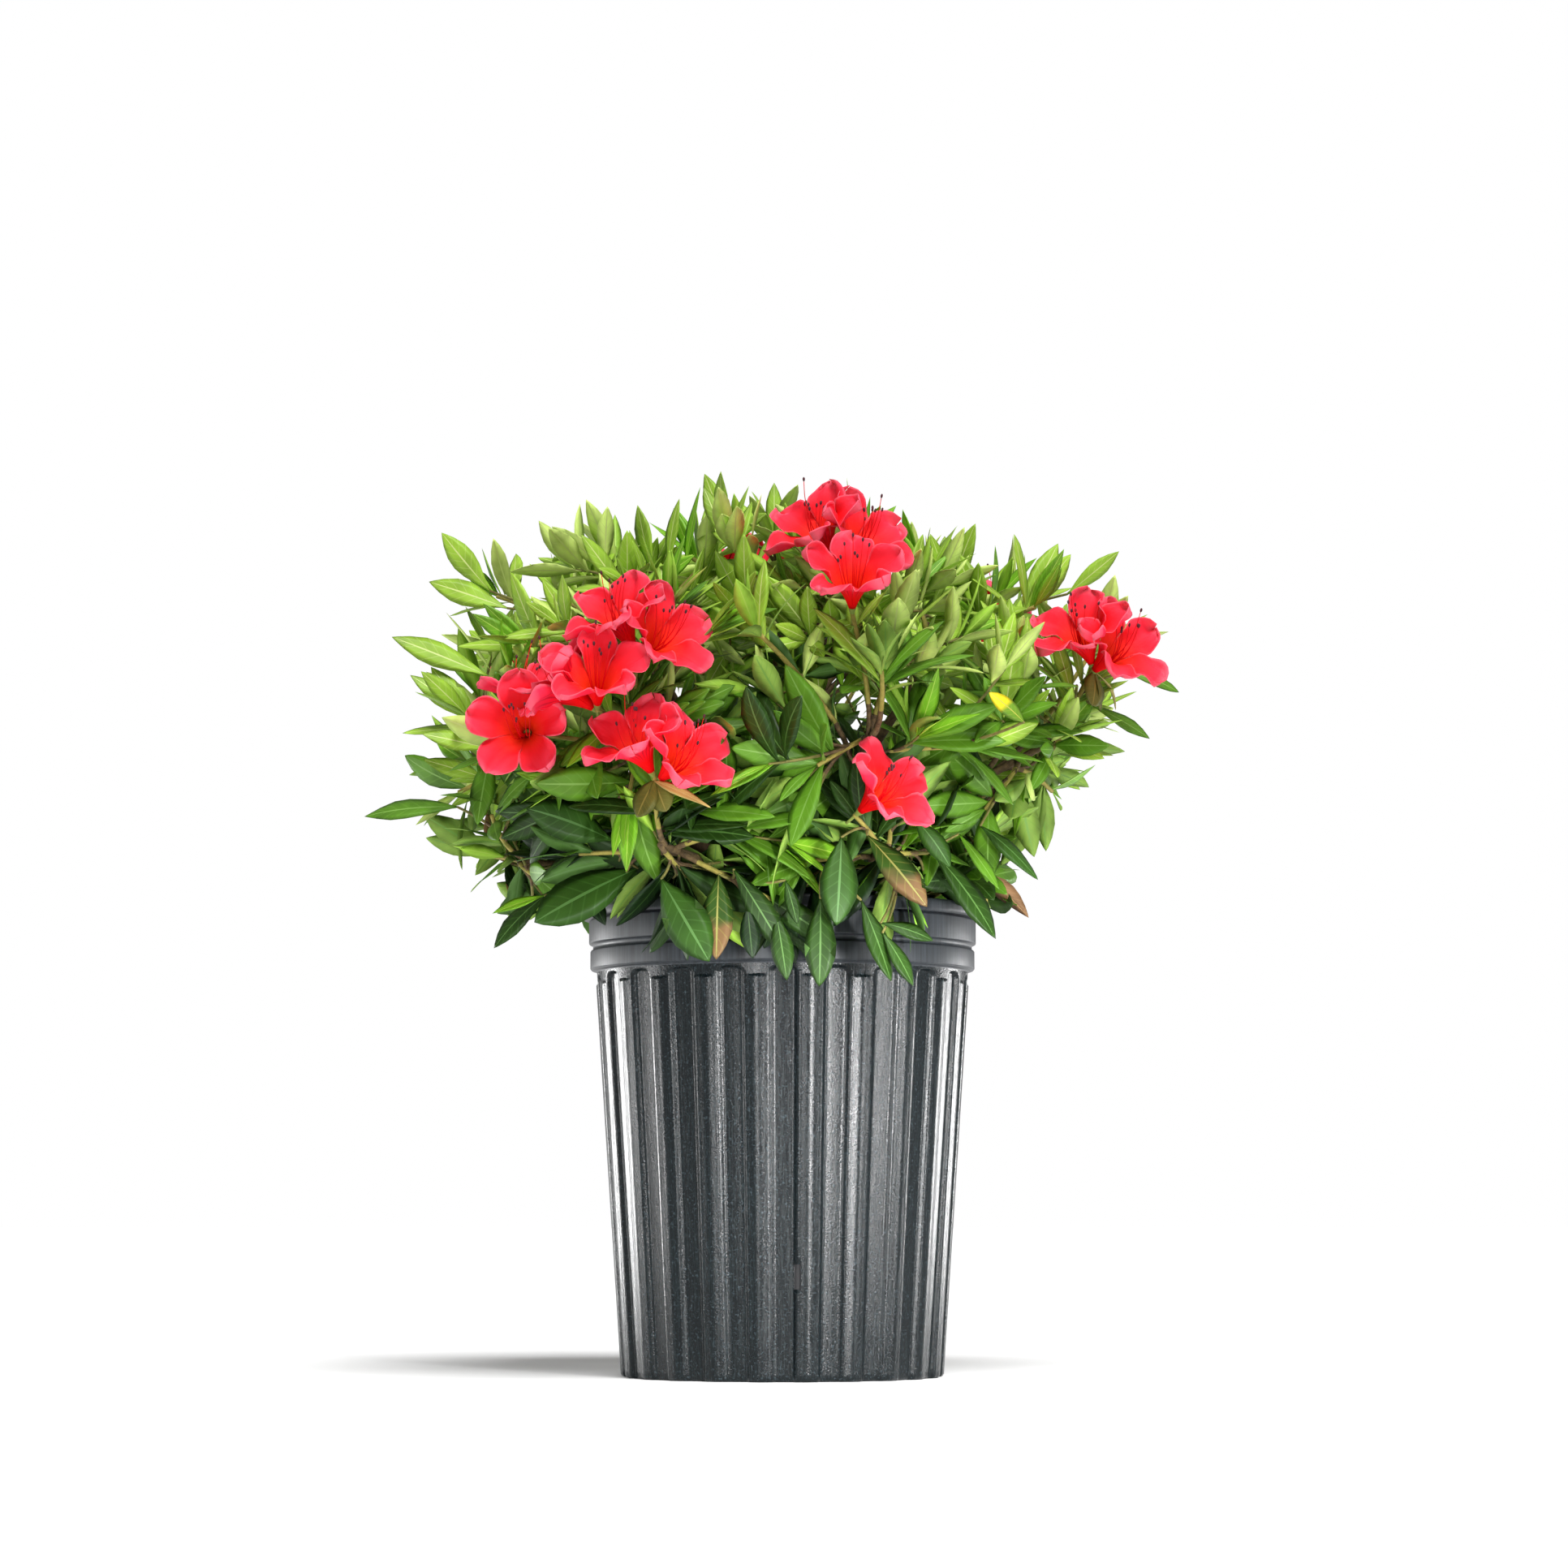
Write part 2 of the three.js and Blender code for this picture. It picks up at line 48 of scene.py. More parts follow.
GOLDEN_ANGLE = math.pi * (3 - math.sqrt(5))
SIDE_GUIDE = np.array([0.31, 0.17, 0.93])
UP = np.array([0.0, 0.0, 1.0])
FRONT = np.array([0.0, -1.0, 0.0])
ROUND_CORNERS = 96
CHANCE_WAVES = (12.9898, 78.233, 43758.5453)
TUBE_END = 0.4

# ---- Camera, floor and lights ----
CAMERA_DISTANCE = 3000
CAMERA_HEIGHT = 110
CAMERA_ASIDE = 1.1
AIM_HEIGHT = 412
LENS = 98.7
SENSOR = 36
FLOOR_REACH = 40000
SKY_LIGHT = 0.26
# The sun's strength, its turns about X and Y, and its width in the sky, in degrees.
SUN_LIGHT = 3.9
SUN_TURN = (30, 10)
SUN_BLUR = 30
# Strip lights: distance and height in metres and spread in degrees, then for each its name,
# azimuth, width in metres and power in watts.
STRIP_DISTANCE = 1.05
STRIP_HEIGHT = 0.3
STRIP_SPREAD = 36
STRIPS = (
    ("front_strip", 22, 0.05, 0.95),
    ("right_strip", 62, 0.05, 0.38),
    ("left_strip", -15, 0.03, 0.3),
    ("far_left_strip", -86, 0.05, 0.2),
    ("right_rim", 124, 0.12, 0.3),
    ("left_rim", -124, 0.16, 0.36),
)

# ---- Pot ----
POT_HEIGHT = 325
FOOT_RADIUS = 110.6
BODY_FLARE = 0.0672
FLUTES = 22
FLUTE_START = 5.04
RIDGE_SHARE = 0.44
SLOPE_SHARE = 0.09
FLUTE_DEPTH = 3.2
ARCH_TOP = 278
ARCH_RISE = 6
RIDGE_CROWN = 1.1
WALL = 2.2
FLOOR = 3.5
LIP_RADIUS = 140
BAND_GROOVE = 132.2
SHOULDER = 268
# The foot's rounded edge: levels, and how far the radius stands back at them.
FOOT_EDGE = ((0, 0.7, 2.2), (-2.2, -0.7, 0))
# Rows of points up the body, first, last and count: below the arches, and across them.
PLAIN_ROWS = (5, 262, 54)
ARCH_ROWS = (263, 279, 35)
# Points of the profile as radius and level: the step out to the rim, and the lip's inner edge.
RIM_STEP = ((129.4, 279.8), (131, 280.5), (133.2, 280.7))
LIP_INSIDE = ((134.5, 325), (133.4, 324.4), (132.8, 323))
# The rim's two bands and its lip: radius, lower edge, upper edge and how round the edges are.
BANDS = ((134, 281, 294.4, 1.3), (135, 298.6, 315.4, 1.3), (LIP_RADIUS, 316, 325, 2.6))
FLUTE_STEPS = 26
SLOT_WIDTH = 4
SLOT_HEIGHT = 17
SLOT_MIDDLE = 70
SLOT_DEPTH = 1.9
SLOT_FLUTES = (0, 6, 11, 17)
# Extra columns and rows of points close beside a slot's edges, in halves of its size.
SLOT_COLUMNS = (-1.08, -0.98, 0.98, 1.08)
SLOT_ROWS = (-1.02, -0.98, 0.98, 1.02)

# ---- Bark mix ----
SOIL_MIDDLE = 298
SOIL_EDGE = 293
SOIL_CLEAR = 0.6
SOIL_FLAT_RADIUS = 32
SOIL_LIFT = 0.3
SOIL_RINGS = 44
SOIL_HEART = 5
CHIPS = 900
CHIP_LENGTHS = (3, 9)
CHIP_RADII = (0.9, 2.1)
CHIP_MARGIN = 6

# ---- Trunk and boughs ----
TRUNK_TOP = 398
TRUNK_LEAN = 5
# The trunk's shares of height and its radii at them.
TRUNK_RADII = ((0, 0.06, 0.18, 0.5, 0.85, 1), (18, 14.5, 12, 10.5, 9, 7))
TRUNK_RINGS = 40
TRUNK_CORNERS = 32
TRUNK_RELIEF = (0.035, 0.12)
BOUGH_RADII = (5.0, 3.6)
BOUGH_BEND = 0.45
BOUGH_RINGS = 22
BOUGH_CORNERS = 12
BOUGH_RELIEF = (0.05, 0.2)

# ---- Crown ----
CROWN_FOCUS = np.array([-4.0, 0.0, 338.0])
CROWN_RADIUS = 290
CROWN_SQUARENESS = 3.2
CROWN_DEPTH_SHARE = 0.96
SKIRT_RADIUS = 206
SKIRT_SHIFT = 12
SKIRT_LINE = 13
SKIRT_TILT = 6
SKIRT_BLEND = 9
CROWN_LOWEST = -7
CROWN_SLACK = 1.03
HANG_FRONT = 276
HANG_SIDE = 318
HANG_TURN = (0.5, 0.8)
HANG_REACH = 195
HANG_RISE = 0.8

# Masses of foliage by tier: name, count, elevation, turn, level where its boughs fork.
TIERS = (
    ("top", 1, 90, 0, 396),
    ("upper", 5, 56, 17, 376),
    ("shoulder", 7, 26, -31, 348),
    ("skirt", 7, 5, -24, 322),
)
STEM_START = 125
STEM_SHARE = 0.6
STEM_RADII = (3.6, 2.4)
STEM_BEND = 20
STEM_STEPS = 8
SHOOTS = 90
SHOOT_STRAY = 0.2
SHOOT_DEPTH = (44, 82)
SKIRT_SHOOT_DEPTH = (34, 52)
SHOOT_RADII = (2.3, 1.5)
SHOOT_BEND = 0.32
SHOOT_STEPS = 9
FIRST_FORK = 0.3
LAST_FORK = 0.95
FINE_SHOOTS = 380
FINE_DEPTH = (40, 130)
FINE_SKIRT_DEPTH = (36, 92)
FINE_SKEW = 0.55
FINE_RADII = (1.4, 0.9)
FINE_FORK = (0.35, 0.75)
FINE_BEND = 0.35
FINE_STEPS = 7
FINE_FIRST = 400
# A placed leaf's twig leaves a shoot at one of its steps from the first up to the last.
PLACED_FORKS = (2, 7)
PLACED_BEND = 0.4
OLDER_SHARE = 0.45
SKIRT_LEVEL = 0.2
# How far leaves turn down or up, by the height of their twig over the crown's focus.
LIFT_HEIGHTS = (0.0, 0.15, 0.3, 0.5, 0.75)
LIFTS = (-0.7, -0.3, 0.08, 0.38, 0.5)

# Blossom trusses: azimuth, elevation, depth, and the azimuth and elevation each bloom faces.
TRUSSES = (
    (17, 56, 68, ((-42, 44), (44, 38))),
    (13, 37, 50, ((0, 45),)),
    (-25, 33, 62, ((-38, 50), (38, 28))),
    (-28.5, 22.5, 42, ((0, 42), (-80, 35))),
    (-44, 21, 52, ((-8, 0), (-30, 72))),
    (-20, 14, 36, ((-34, 44), (42, 30))),
    (69, 32, 46, ((-26, 46), (44, 32))),
    (16, 11, 32, ((46, 30),)),
    (136, 44, 54, ((110, 60), (165, 30))),
    (146, 22, 48, ((110, 50), (-170, 30))),
    (-170, 55, 54, ((150, 50), (-120, 45))),
    (-128, 30, 50, ((-165, 45), (-90, 40))),
    (-152, 8, 40, ((-140, 40),)),
    (178, 12, 36, ((-150, 40),)),
)
ROUND_LEAVED_TRUSSES = (5, 6, 9, 12)
# Leaves placed one by one over the front, at the sides and on top: kind, root and tip.
PLACED_LEAVES = (
    ("broad", (-97, -120, 343), (-165, -139, 312)),
    ("broad", (-80, -168, 332), (-50, -194, 280)),
    ("tipped", (-42, -170, 335), (-44, -190, 281)),
    ("broad", (39, -176, 359), (37, -196, 304)),
    ("dark", (-32, -173, 338), (1, -191, 288)),
    ("dark", (-156, -105, 329), (-199, -114, 298)),
    ("young", (-160, -115, 325), (-193, -132, 315)),
    ("dark", (102, -115, 354), (148, -134, 304)),
    ("dark", (52, -168, 318), (73, -186, 268)),
    ("dark", (25, -168, 319), (26, -192, 266)),
    ("dark", (2, -171, 331), (10, -186, 305)),
    ("tipped", (56, -168, 361), (96, -186, 318)),
    ("mature", (119, -110, 367), (147, -126, 333)),
    ("broad", (134, -105, 373), (175, -119, 343)),
    ("broad", (88, -140, 375), (113, -162, 348)),
    ("broad", (-114, -130, 361), (-161, -164, 384)),
    ("mature", (-223, -60, 390), (-288, -60, 393)),
    ("olive", (-203, -60, 481), (-266, -70, 508)),
    ("mottled", (158, -206, 432), (138, -214, 452)),
    ("dark", (65, -166, 303), (100, -174, 297)),
    ("dark", (66, -174, 296), (88, -186, 265)),
    ("dark", (-4, -176, 309), (3, -194, 268)),
    ("deep", (-23, -176, 314), (-20, -192, 282)),
    ("olive", (-202, -60, 540), (-236, -66, 578)),
    ("olive", (-190, -60, 528), (-242, -64, 547)),
    ("olive", (-91, -12, 560), (-104, -14, 606)),
    ("olive", (-80, -14, 562), (-79, -16, 612)),
    ("young", (-68, -12, 566), (-60, -12, 620)),
    ("olive", (200, -10, 545), (236, -14, 574)),
    ("mature", (236, -55, 484), (276, -55, 478)),
    ("mature", (212, -55, 462), (254, -58, 442)),
)
BLOOM_BARE = 1.5
BLOOM_STEP = 5
BLOOM_TUBE = 2.6
BLOOM_STALK = 6
# The space that leaves keep out of: the span of a funnel ahead of the bloom's root, where it
# widens and its two radii, and the span and radius of the space before its mouth. Then how far
# ahead the mouth is, the bloom's radius as seen from the front, and the Y of the front blooms.
FUNNEL_SPAN = (3, 46)
FUNNEL_WIDENS = (10, 36)
FUNNEL_RADII = (6, 35)
MOUTH_SPAN = (30, 78)
MOUTH_RADIUS = 26
MOUTH_AHEAD = 26
BLOOM_OUTLINE = 30
FRONT_BLOOMS = -60
LOBES = 5
PETAL_LENGTH = 51
PETAL_ROWS = 19
PETAL_COLUMNS = 13
# In degrees: how far a petal opens at the tube, how much more at its end, and how much its end
# leans by chance.
PETAL_OPENING = (15, 60, 56)
LOBE_FREE = 0.48
LOBE_SWELL = 0.08
PETAL_THICKNESS = 0.4
PETAL_GLOW = (0.02, 0.001, 0.0015)
STAMENS = 7
STAMEN_STEPS = 9
STAMEN_LENGTHS = (27, 44)
STYLE_LENGTH = 52
# Distances along an anther from its thread's end, and its radii there.
ANTHER = ((-0.6, 0.0, 0.9, 1.8, 2.3), (0.25, 0.7, 0.85, 0.7, 0.2))
# Distances along a bloom's stalk and cup from the bloom's root, and their radii there.
CALYX = ((-9, -5, 0, 2.5, 5.0, 7.5, 9.5), (1.0, 1.0, 1.2, 1.9, 2.6, 2.7, 2.4))


# ---- Numbers and directions ----
def chance(index, salt):
    """A repeatable share from 0 to 1: what follows the point in a large sine of the index."""
    by_index, by_salt, size = CHANCE_WAVES
    wave = np.sin(np.asarray(index) * by_index + salt * by_salt) * size
    return wave - np.floor(wave)


def between(ends, share):
    """The first end plus a share of the way to the second."""
    return ends[0] + (ends[1] - ends[0]) * share


def smooth(low, high, value):
    """Nought below low, one above high, and a smooth S between them."""
    share = np.clip((value - low) / (high - low), 0, 1)
    return share * share * (3 - 2 * share)


def unit(vectors):
    """Vectors divided by their own lengths."""
    return vectors / np.maximum(np.linalg.norm(vectors, axis=-1, keepdims=True), 1e-9)


def heading(azimuth, elevation):
    """Unit vectors of an azimuth and an elevation in radians."""
    azimuth, elevation = np.broadcast_arrays(azimuth, elevation)
    level = np.cos(elevation)
    return np.stack([level * np.sin(azimuth), -level * np.cos(azimuth), np.sin(elevation)], -1)


# ---- Skins: points, faces, a mark for each face's material, and a place across and along ----
def loft(rings, start, end, marks=None, across=None, along=None):
    """Closed skins over stacks of rings, an array of (skin, ring, corner, xyz).

    Four-cornered faces join each ring to the next, and a fan of triangles closes each skin on
    its start point and its end point. marks gives a material number by ring and corner, and
    across and along give the pattern's place by ring and corner.
    """
    count, tall, around, _ = rings.shape
    size = tall * around + 2
    base = np.arange(count)[:, None, None] * size
    row = np.arange(tall - 1)[None, :, None] * around
    corner = np.arange(around)[None, None, :]
    after = (corner + 1) % around
    quads = np.stack(
        [
            base + row + corner,
            base + row + after,
            base + row + around + after,
            base + row + around + corner,
        ],
        -1,
    )
    first = base[:, 0]
    last = first + (tall - 1) * around
    corner, after = corner[0], after[0]
    pole = first + tall * around
    start_fan = np.stack([pole + 0 * corner, first + after, first + corner], -1)
    end_fan = np.stack([pole + 1 + 0 * corner, last + corner, last + after], -1)
    points = np.concatenate([rings.reshape(count, -1, 3), start[:, None], end[:, None]], 1)
    if marks is None:
        marks = np.zeros((tall - 1, around), int)
    place = np.zeros((tall * around + 2, 2))
    if across is not None:
        shape = (tall, around)
        place[:-2, 0] = np.broadcast_to(across, shape).ravel()
        place[:-2, 1] = np.broadcast_to(along, shape).ravel()
        place[-1, 1] = 1
    return {
        "points": points.reshape(-1, 3),
        "quads": quads.reshape(-1, 4),
        "tris": np.concatenate([start_fan, end_fan], 1).reshape(-1, 3),
        "quad_marks": np.tile(marks.ravel(), count),
        "tri_marks": np.tile(np.concatenate([marks[0], marks[-1]]), count),
        "place": np.tile(place, (count, 1)),
    }


def sheet_of(grid, across, along, mark=0):
    """Open sheets over grids of (sheet, row, column, xyz), with four-cornered faces."""
    count, rows, columns, _ = grid.shape
    base = np.arange(count)[:, None, None] * rows * columns
    corner = base + np.arange(rows - 1)[None, :, None] * columns + np.arange(columns - 1)
    quads = np.stack([corner, corner + 1, corner + columns + 1, corner + columns], -1)
    place = np.stack(np.broadcast_arrays(across, along), -1).reshape(-1, 2)
    return {
        "points": grid.reshape(-1, 3),
        "quads": quads.reshape(-1, 4),
        "tris": np.zeros((0, 3), int),
        "quad_marks": np.full(corner.size, mark),
        "tri_marks": np.zeros(0, int),
        "place": np.tile(place, (count, 1)),
    }


def joined(skins):
    """Several skins as one, with each one's corner numbers moved past those before it."""
    whole = {}
    starts = np.cumsum([0] + [len(skin["points"]) for skin in skins[:-1]])
    for part in ("points", "place", "quad_marks", "tri_marks"):
        whole[part] = np.concatenate([skin[part] for skin in skins])
    for part in ("quads", "tris"):
        whole[part] = np.concatenate([skin[part] + at for skin, at in zip(skins, starts)])
    return whole


def remarked(skin, mark):
    """The same skin with one material number on all its faces."""
    skin["quad_marks"] = np.full(len(skin["quads"]), mark)
    skin["tri_marks"] = np.full(len(skin["tris"]), mark)
    return skin


def add_piece(name, skin, finishes, nodes=(), body="root"):
    """Puts a skin into a mesh in metres and hangs it on the body."""
    mesh = bpy.data.meshes.new(name)
    quads, tris = skin["quads"], skin["tris"]
    corners = np.concatenate([quads.ravel(), tris.ravel()]).astype(np.int32)
    sizes = np.concatenate([np.full(len(quads), 4), np.full(len(tris), 3)])
    mesh.vertices.add(len(skin["points"]))
    mesh.vertices.foreach_set("co", (skin["points"] * MM).astype(np.float32).ravel())
    mesh.loops.add(len(corners))
    mesh.loops.foreach_set("vertex_index", corners)
    mesh.polygons.add(len(sizes))
    mesh.polygons.foreach_set("loop_start", (np.cumsum(sizes) - sizes).astype(np.int32))
    marks = np.concatenate([skin["quad_marks"], skin["tri_marks"]]).astype(np.int32)
    mesh.polygons.foreach_set("material_index", marks)
    mesh.polygons.foreach_set("use_smooth", np.ones(len(sizes), bool))
    layer = mesh.uv_layers.new(name="place")
    layer.data.foreach_set("uv", skin["place"][corners].astype(np.float32).ravel())
    mesh.update(calc_edges=True)
    for finish in finishes:
        mesh.materials.append(finish)
    piece = bpy.data.objects.new(name, mesh)
    bpy.context.collection.objects.link(piece)
    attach(piece, body)
    if nodes:
        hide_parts(*nodes)
    return piece


def frames_along(paths):
    """The unit way along (path, ring, xyz), a side square to it, and upward square to both."""
    along = unit(np.gradient(paths, axis=1))
    side = unit(np.cross(along, SIDE_GUIDE))
    return along, side, np.cross(along, side)


def tubes(paths, radii, sides, marks=None):
    """Closed round tubes along many paths at once, with a radius for each ring.

    A ring's points are its middle plus the cosine of the side and the sine of the upward way,
    times its radius. Each end closes on a point that stands out by a share of its radius.
    """
    along, side, upward = frames_along(paths)
    turn = np.arange(sides) * 2 * math.pi / sides
    radii = np.broadcast_to(radii, paths.shape[:2])[:, :, None, None]
    ring = np.cos(turn)[:, None] * side[:, :, None] + np.sin(turn)[:, None] * upward[:, :, None]
    rings = paths[:, :, None] + ring * radii
    ends = radii[:, [0, -1], 0] * TUBE_END
    start = paths[:, 0] - along[:, 0] * ends[:, 0]
    end = paths[:, -1] + along[:, -1] * ends[:, 1]
    tall = np.linspace(0, 1, paths.shape[1])[:, None]
    return loft(rings, start, end, marks, turn / (2 * math.pi), tall)


def bent_paths(start, bend, end, steps):
    """Quadratic curves: start, bend and end weighed by (1-t)^2, 2t(1-t) and t^2."""
    t = np.linspace(0, 1, steps)[None, :, None]
    return start[:, None] * (1 - t) ** 2 + bend[:, None] * 2 * t * (1 - t) + end[:, None] * t * t


# ---- Finishes ----
def new_finish(name, roughness, color=(0.5, 0.5, 0.5), **sockets):
    """A plain material, with any other sockets of its shader given by name."""
    finish = bpy.data.materials.new(name)
    finish.use_nodes = True
    shader = finish.node_tree.nodes["Principled BSDF"]
    shader.inputs["Base Color"].default_value = (*color, 1)
    shader.inputs["Roughness"].default_value = roughness
    for socket, value in sockets.items():
        shader.inputs[socket.replace("_", " ")].default_value = value
    return finish


def color_of(text):
    """A linear colour from six hex digits."""
    parts = [int(text[i : i + 2], 16) / 255 for i in (0, 2, 4)]
    return tuple(p / 12.92 if p <= 0.04045 else ((p + 0.055) / 1.055) ** 2.4 for p in parts)


# Side veins along a leaf and how far they slant, and streaks and fine veins over half a petal.
VEINS = 8
VEIN_SLANT = 0.17
PETAL_STREAKS = 3.5
PETAL_VEINS = 5


class Pattern:
    """Adds and links the pattern nodes of one finish."""

    def __init__(self, finish):
        self.tree = finish.node_tree
        self.shader = self.tree.nodes["Principled BSDF"]
        self.coordinates = self.tree.nodes.new("ShaderNodeTexCoord")

    def node(self, kind, **values):
        """A new node with its properties set by name."""
        made = self.tree.nodes.new(kind)
        for name, value in values.items():
            setattr(made, name, value)
        return made

    def link(self, output, target):
        self.tree.links.new(output, target)

    def noise(self, scale, detail=3, rough=0.5):
        """Noise on Object coordinates, with scale counts to the metre along X, Y and Z."""
        mapping = self.node("ShaderNodeMapping")
        mapping.inputs["Scale"].default_value = scale
        self.link(self.coordinates.outputs["Object"], mapping.inputs["Vector"])
        made = self.node("ShaderNodeTexNoise")
        made.inputs["Scale"].default_value = 1
        made.inputs["Detail"].default_value = detail
        made.inputs["Roughness"].default_value = rough
        self.link(mapping.outputs["Vector"], made.inputs["Vector"])
        return made.outputs["Fac"]

    def math(self, operation, first, second=None):
        """One operation on one or two values, each a socket or a number."""
        made = self.node("ShaderNodeMath", operation=operation)
        for socket, value in zip(made.inputs, (first, second)):
            if isinstance(value, (int, float)):
                socket.default_value = value
            elif value is not None:
                self.link(value, socket)
        return made.outputs[0]

    def ramp(self, factor, *stops):
        """A colour ramp: stops of place and colour, or place and grey."""
        made = self.node("ShaderNodeValToRGB")
        elements = made.color_ramp.elements
        while len(elements) < len(stops):
            elements.new(0.5)
        for element, (place, value) in zip(elements, stops):
            element.position = place
            element.color = (value,) * 3 + (1,) if isinstance(value, (int, float)) else (*value, 1)
        self.link(factor, made.inputs["Fac"])
        return made.outputs["Color"]

    def mixed(self, factor, first, second, blend="MIX"):
        """Two colours, each a socket or a plain colour, mixed by a factor."""
        made = self.node("ShaderNodeMix", data_type="RGBA", blend_type=blend)
        sockets = (made.inputs[0], made.inputs[6], made.inputs[7])
        for socket, value in zip(sockets, (factor, first, second)):
            if isinstance(value, tuple):
                socket.default_value = (*value, 1)
            elif isinstance(value, (int, float)):
                socket.default_value = value
            else:
                self.link(value, socket)
        return made.outputs[2]

    def across_and_along(self):
        """The place across and along a leaf or petal."""
        split = self.node("ShaderNodeSeparateXYZ")
        self.link(self.coordinates.outputs["UV"], split.inputs["Vector"])
        return split.outputs["X"], split.outputs["Y"]

    def color(self, socket):
        self.link(socket, self.shader.inputs["Base Color"])

    def roughness(self, socket):
        self.link(socket, self.shader.inputs["Roughness"])

    def relief(self, height, strength, distance):
        """Bumps from a height, as deep as the distance in metres."""
        bump = self.node("ShaderNodeBump")
        bump.inputs["Strength"].default_value = strength
        bump.inputs["Distance"].default_value = distance
        self.link(height, bump.inputs["Height"])
        self.link(bump.outputs["Normal"], self.shader.inputs["Normal"])


def darker(color, share):
    """A colour times a share."""
    return tuple(part * share for part in color)


def plastic_finish():
    """Charcoal moulded plastic, streaked down its height and lightly grained, with pale specks painted on the
    grain as glints of light.
    """
    finish = new_finish("pot_plastic", 0.24, Specular_IOR_Level=0.2)
    pattern = Pattern(finish)
    streaks = pattern.noise((650, 650, 10), 5, 0.7)
    grain = pattern.noise((700, 700, 700), 3, 0.6)
    clouds = pattern.noise((14, 14, 5), 3)
    dark = color_of("070b0d")
    streaked = pattern.mixed(pattern.ramp(streaks, (0.38, 0.0), (0.75, 1.0)), dark, color_of("0d1618"))
    # Pale specks on the fine grain: painted glints of light.
    painted_glint = pattern.ramp(grain, (0.56, 0.0), (0.7, 0.3))
    with_painted_glints = pattern.mixed(painted_glint, streaked, color_of("55646b"))
    pattern.color(pattern.mixed(pattern.ramp(clouds, (0.3, 0.0), (0.8, 0.4)), with_painted_glints, darker(dark, 0.7)))
    pattern.roughness(pattern.ramp(streaks, (0.35, 0.16), (0.65, 0.34)))
    height = pattern.math("ADD", pattern.math("MULTIPLY", streaks, 0.6), pattern.math("MULTIPLY", grain, 2.0))
    pattern.relief(height, 0.4, 0.00022)
    return finish


def rim_finish():
    """The same plastic on the rim, greyer, with finer streaks."""
    finish = new_finish("rim_plastic", 0.42, Specular_IOR_Level=0.3)
    pattern = Pattern(finish)
    streaks = pattern.noise((420, 420, 14), 5, 0.6)
    pattern.color(
        pattern.mixed(pattern.ramp(streaks, (0.3, 0.0), (0.75, 1.0)), color_of("14171a"), color_of("30353a"))
    )
    pattern.relief(streaks, 0.4, 0.0004)
    return finish


def soil_finish():
    """Dark red-brown bark mix."""
    finish = new_finish("potting_soil", 0.95)
    pattern = Pattern(finish)
    lumps = pattern.noise((160, 160, 160), 5, 0.6)
    pattern.color(
        pattern.ramp(lumps, (0.3, color_of("1d1210")), (0.55, color_of("3b2620")), (0.75, color_of("5b4036")))
    )
    pattern.relief(lumps, 0.8, 0.003)
    return finish


def bark_finish(name, low, high, scale):
    """Bark from one brown to another, cracked along the limb."""
    finish = new_finish(name, 0.85)
    pattern = Pattern(finish)
    cracks = pattern.noise(scale, 5, 0.65)
    pattern.color(pattern.ramp(cracks, (0.32, color_of(low)), (0.7, color_of(high))))
    pattern.relief(cracks, 0.7, 0.0012)
    return finish


def blade_finish(name, color, rib, roughness, veins, tip=None):
    """A leaf face: its own colour, paler side veins, soft blotches and sometimes a dry tip.

    The veins are a row of even steps along the leaf that slant with the distance from its rib.
    """
    finish = new_finish(name, roughness, color, Specular_IOR_Level=0.25)
    pattern = Pattern(finish)
    across, along = pattern.across_and_along()
    slant = pattern.math("MULTIPLY", pattern.math("ABSOLUTE", across), VEIN_SLANT)
    steps = pattern.math("MULTIPLY", pattern.math("SUBTRACT", along, slant), VEINS)
    line = pattern.math("PINGPONG", steps, 0.5)
    vein = pattern.ramp(line, (0.0, veins), (0.11, 0.0))
    blotch = pattern.noise((42, 42, 42), 2)
    tone = pattern.ramp(blotch, (0.28, darker(color, 0.62)), (0.5, color), (0.74, darker(color, 1.3)))
    if tip:
        ragged = pattern.math("ADD", along, pattern.math("MULTIPLY", blotch, 0.6))
        tone = pattern.mixed(pattern.ramp(ragged, (0.82, 0.0), (0.95, 1.0)), tone, tip)
    pattern.color(pattern.mixed(vein, tone, rib))
    pattern.relief(pattern.math("SUBTRACT", 1, vein), 0.25, 0.0006)
    return finish


def petal_finish(name, throat, middle, edge, streaks):
    """A petal face: throat colour below, edge colour above, a thin pale margin and streaks."""
    throat, middle, edge = color_of(throat), color_of(middle), color_of(edge)
    finish = new_finish(name, 0.65, middle, Specular_IOR_Level=0.1, Subsurface_Weight=0.3)
    finish.node_tree.nodes["Principled BSDF"].inputs["Subsurface Radius"].default_value = PETAL_GLOW
    pattern = Pattern(finish)
    across, along = pattern.across_and_along()
    reach = pattern.ramp(along, (0.25, throat), (0.6, middle), (1.0, edge))
    aside = pattern.math("ABSOLUTE", across)
    margin = pattern.math("MAXIMUM", aside, along)
    rim = pattern.ramp(margin, (0.9, 0.0), (0.99, 0.6))
    edged = pattern.math("MULTIPLY", rim, pattern.ramp(along, (0.4, 0.0), (0.6, 1.0)))
    framed = pattern.mixed(edged, reach, color_of("fa7386"))
    lines = pattern.math("PINGPONG", pattern.math("MULTIPLY", across, PETAL_STREAKS), 0.5)
    zone = pattern.ramp(along, (0.25, 0.0), (0.4, 1.0), (0.72, 1.0), (0.92, 0.0))
    inner = pattern.ramp(aside, (0.6, 1.0), (0.85, 0.0))
    streak = pattern.ramp(lines, (0.06, streaks), (0.24, 0.0))
    mask = pattern.math("MULTIPLY", pattern.math("MULTIPLY", zone, inner), streak)
    pattern.color(pattern.mixed(mask, framed, color_of("7a0414")))
    veins = pattern.math("PINGPONG", pattern.math("MULTIPLY", across, PETAL_VEINS), 0.5)
    pattern.relief(veins, 0.2, 0.0006)
    return finish


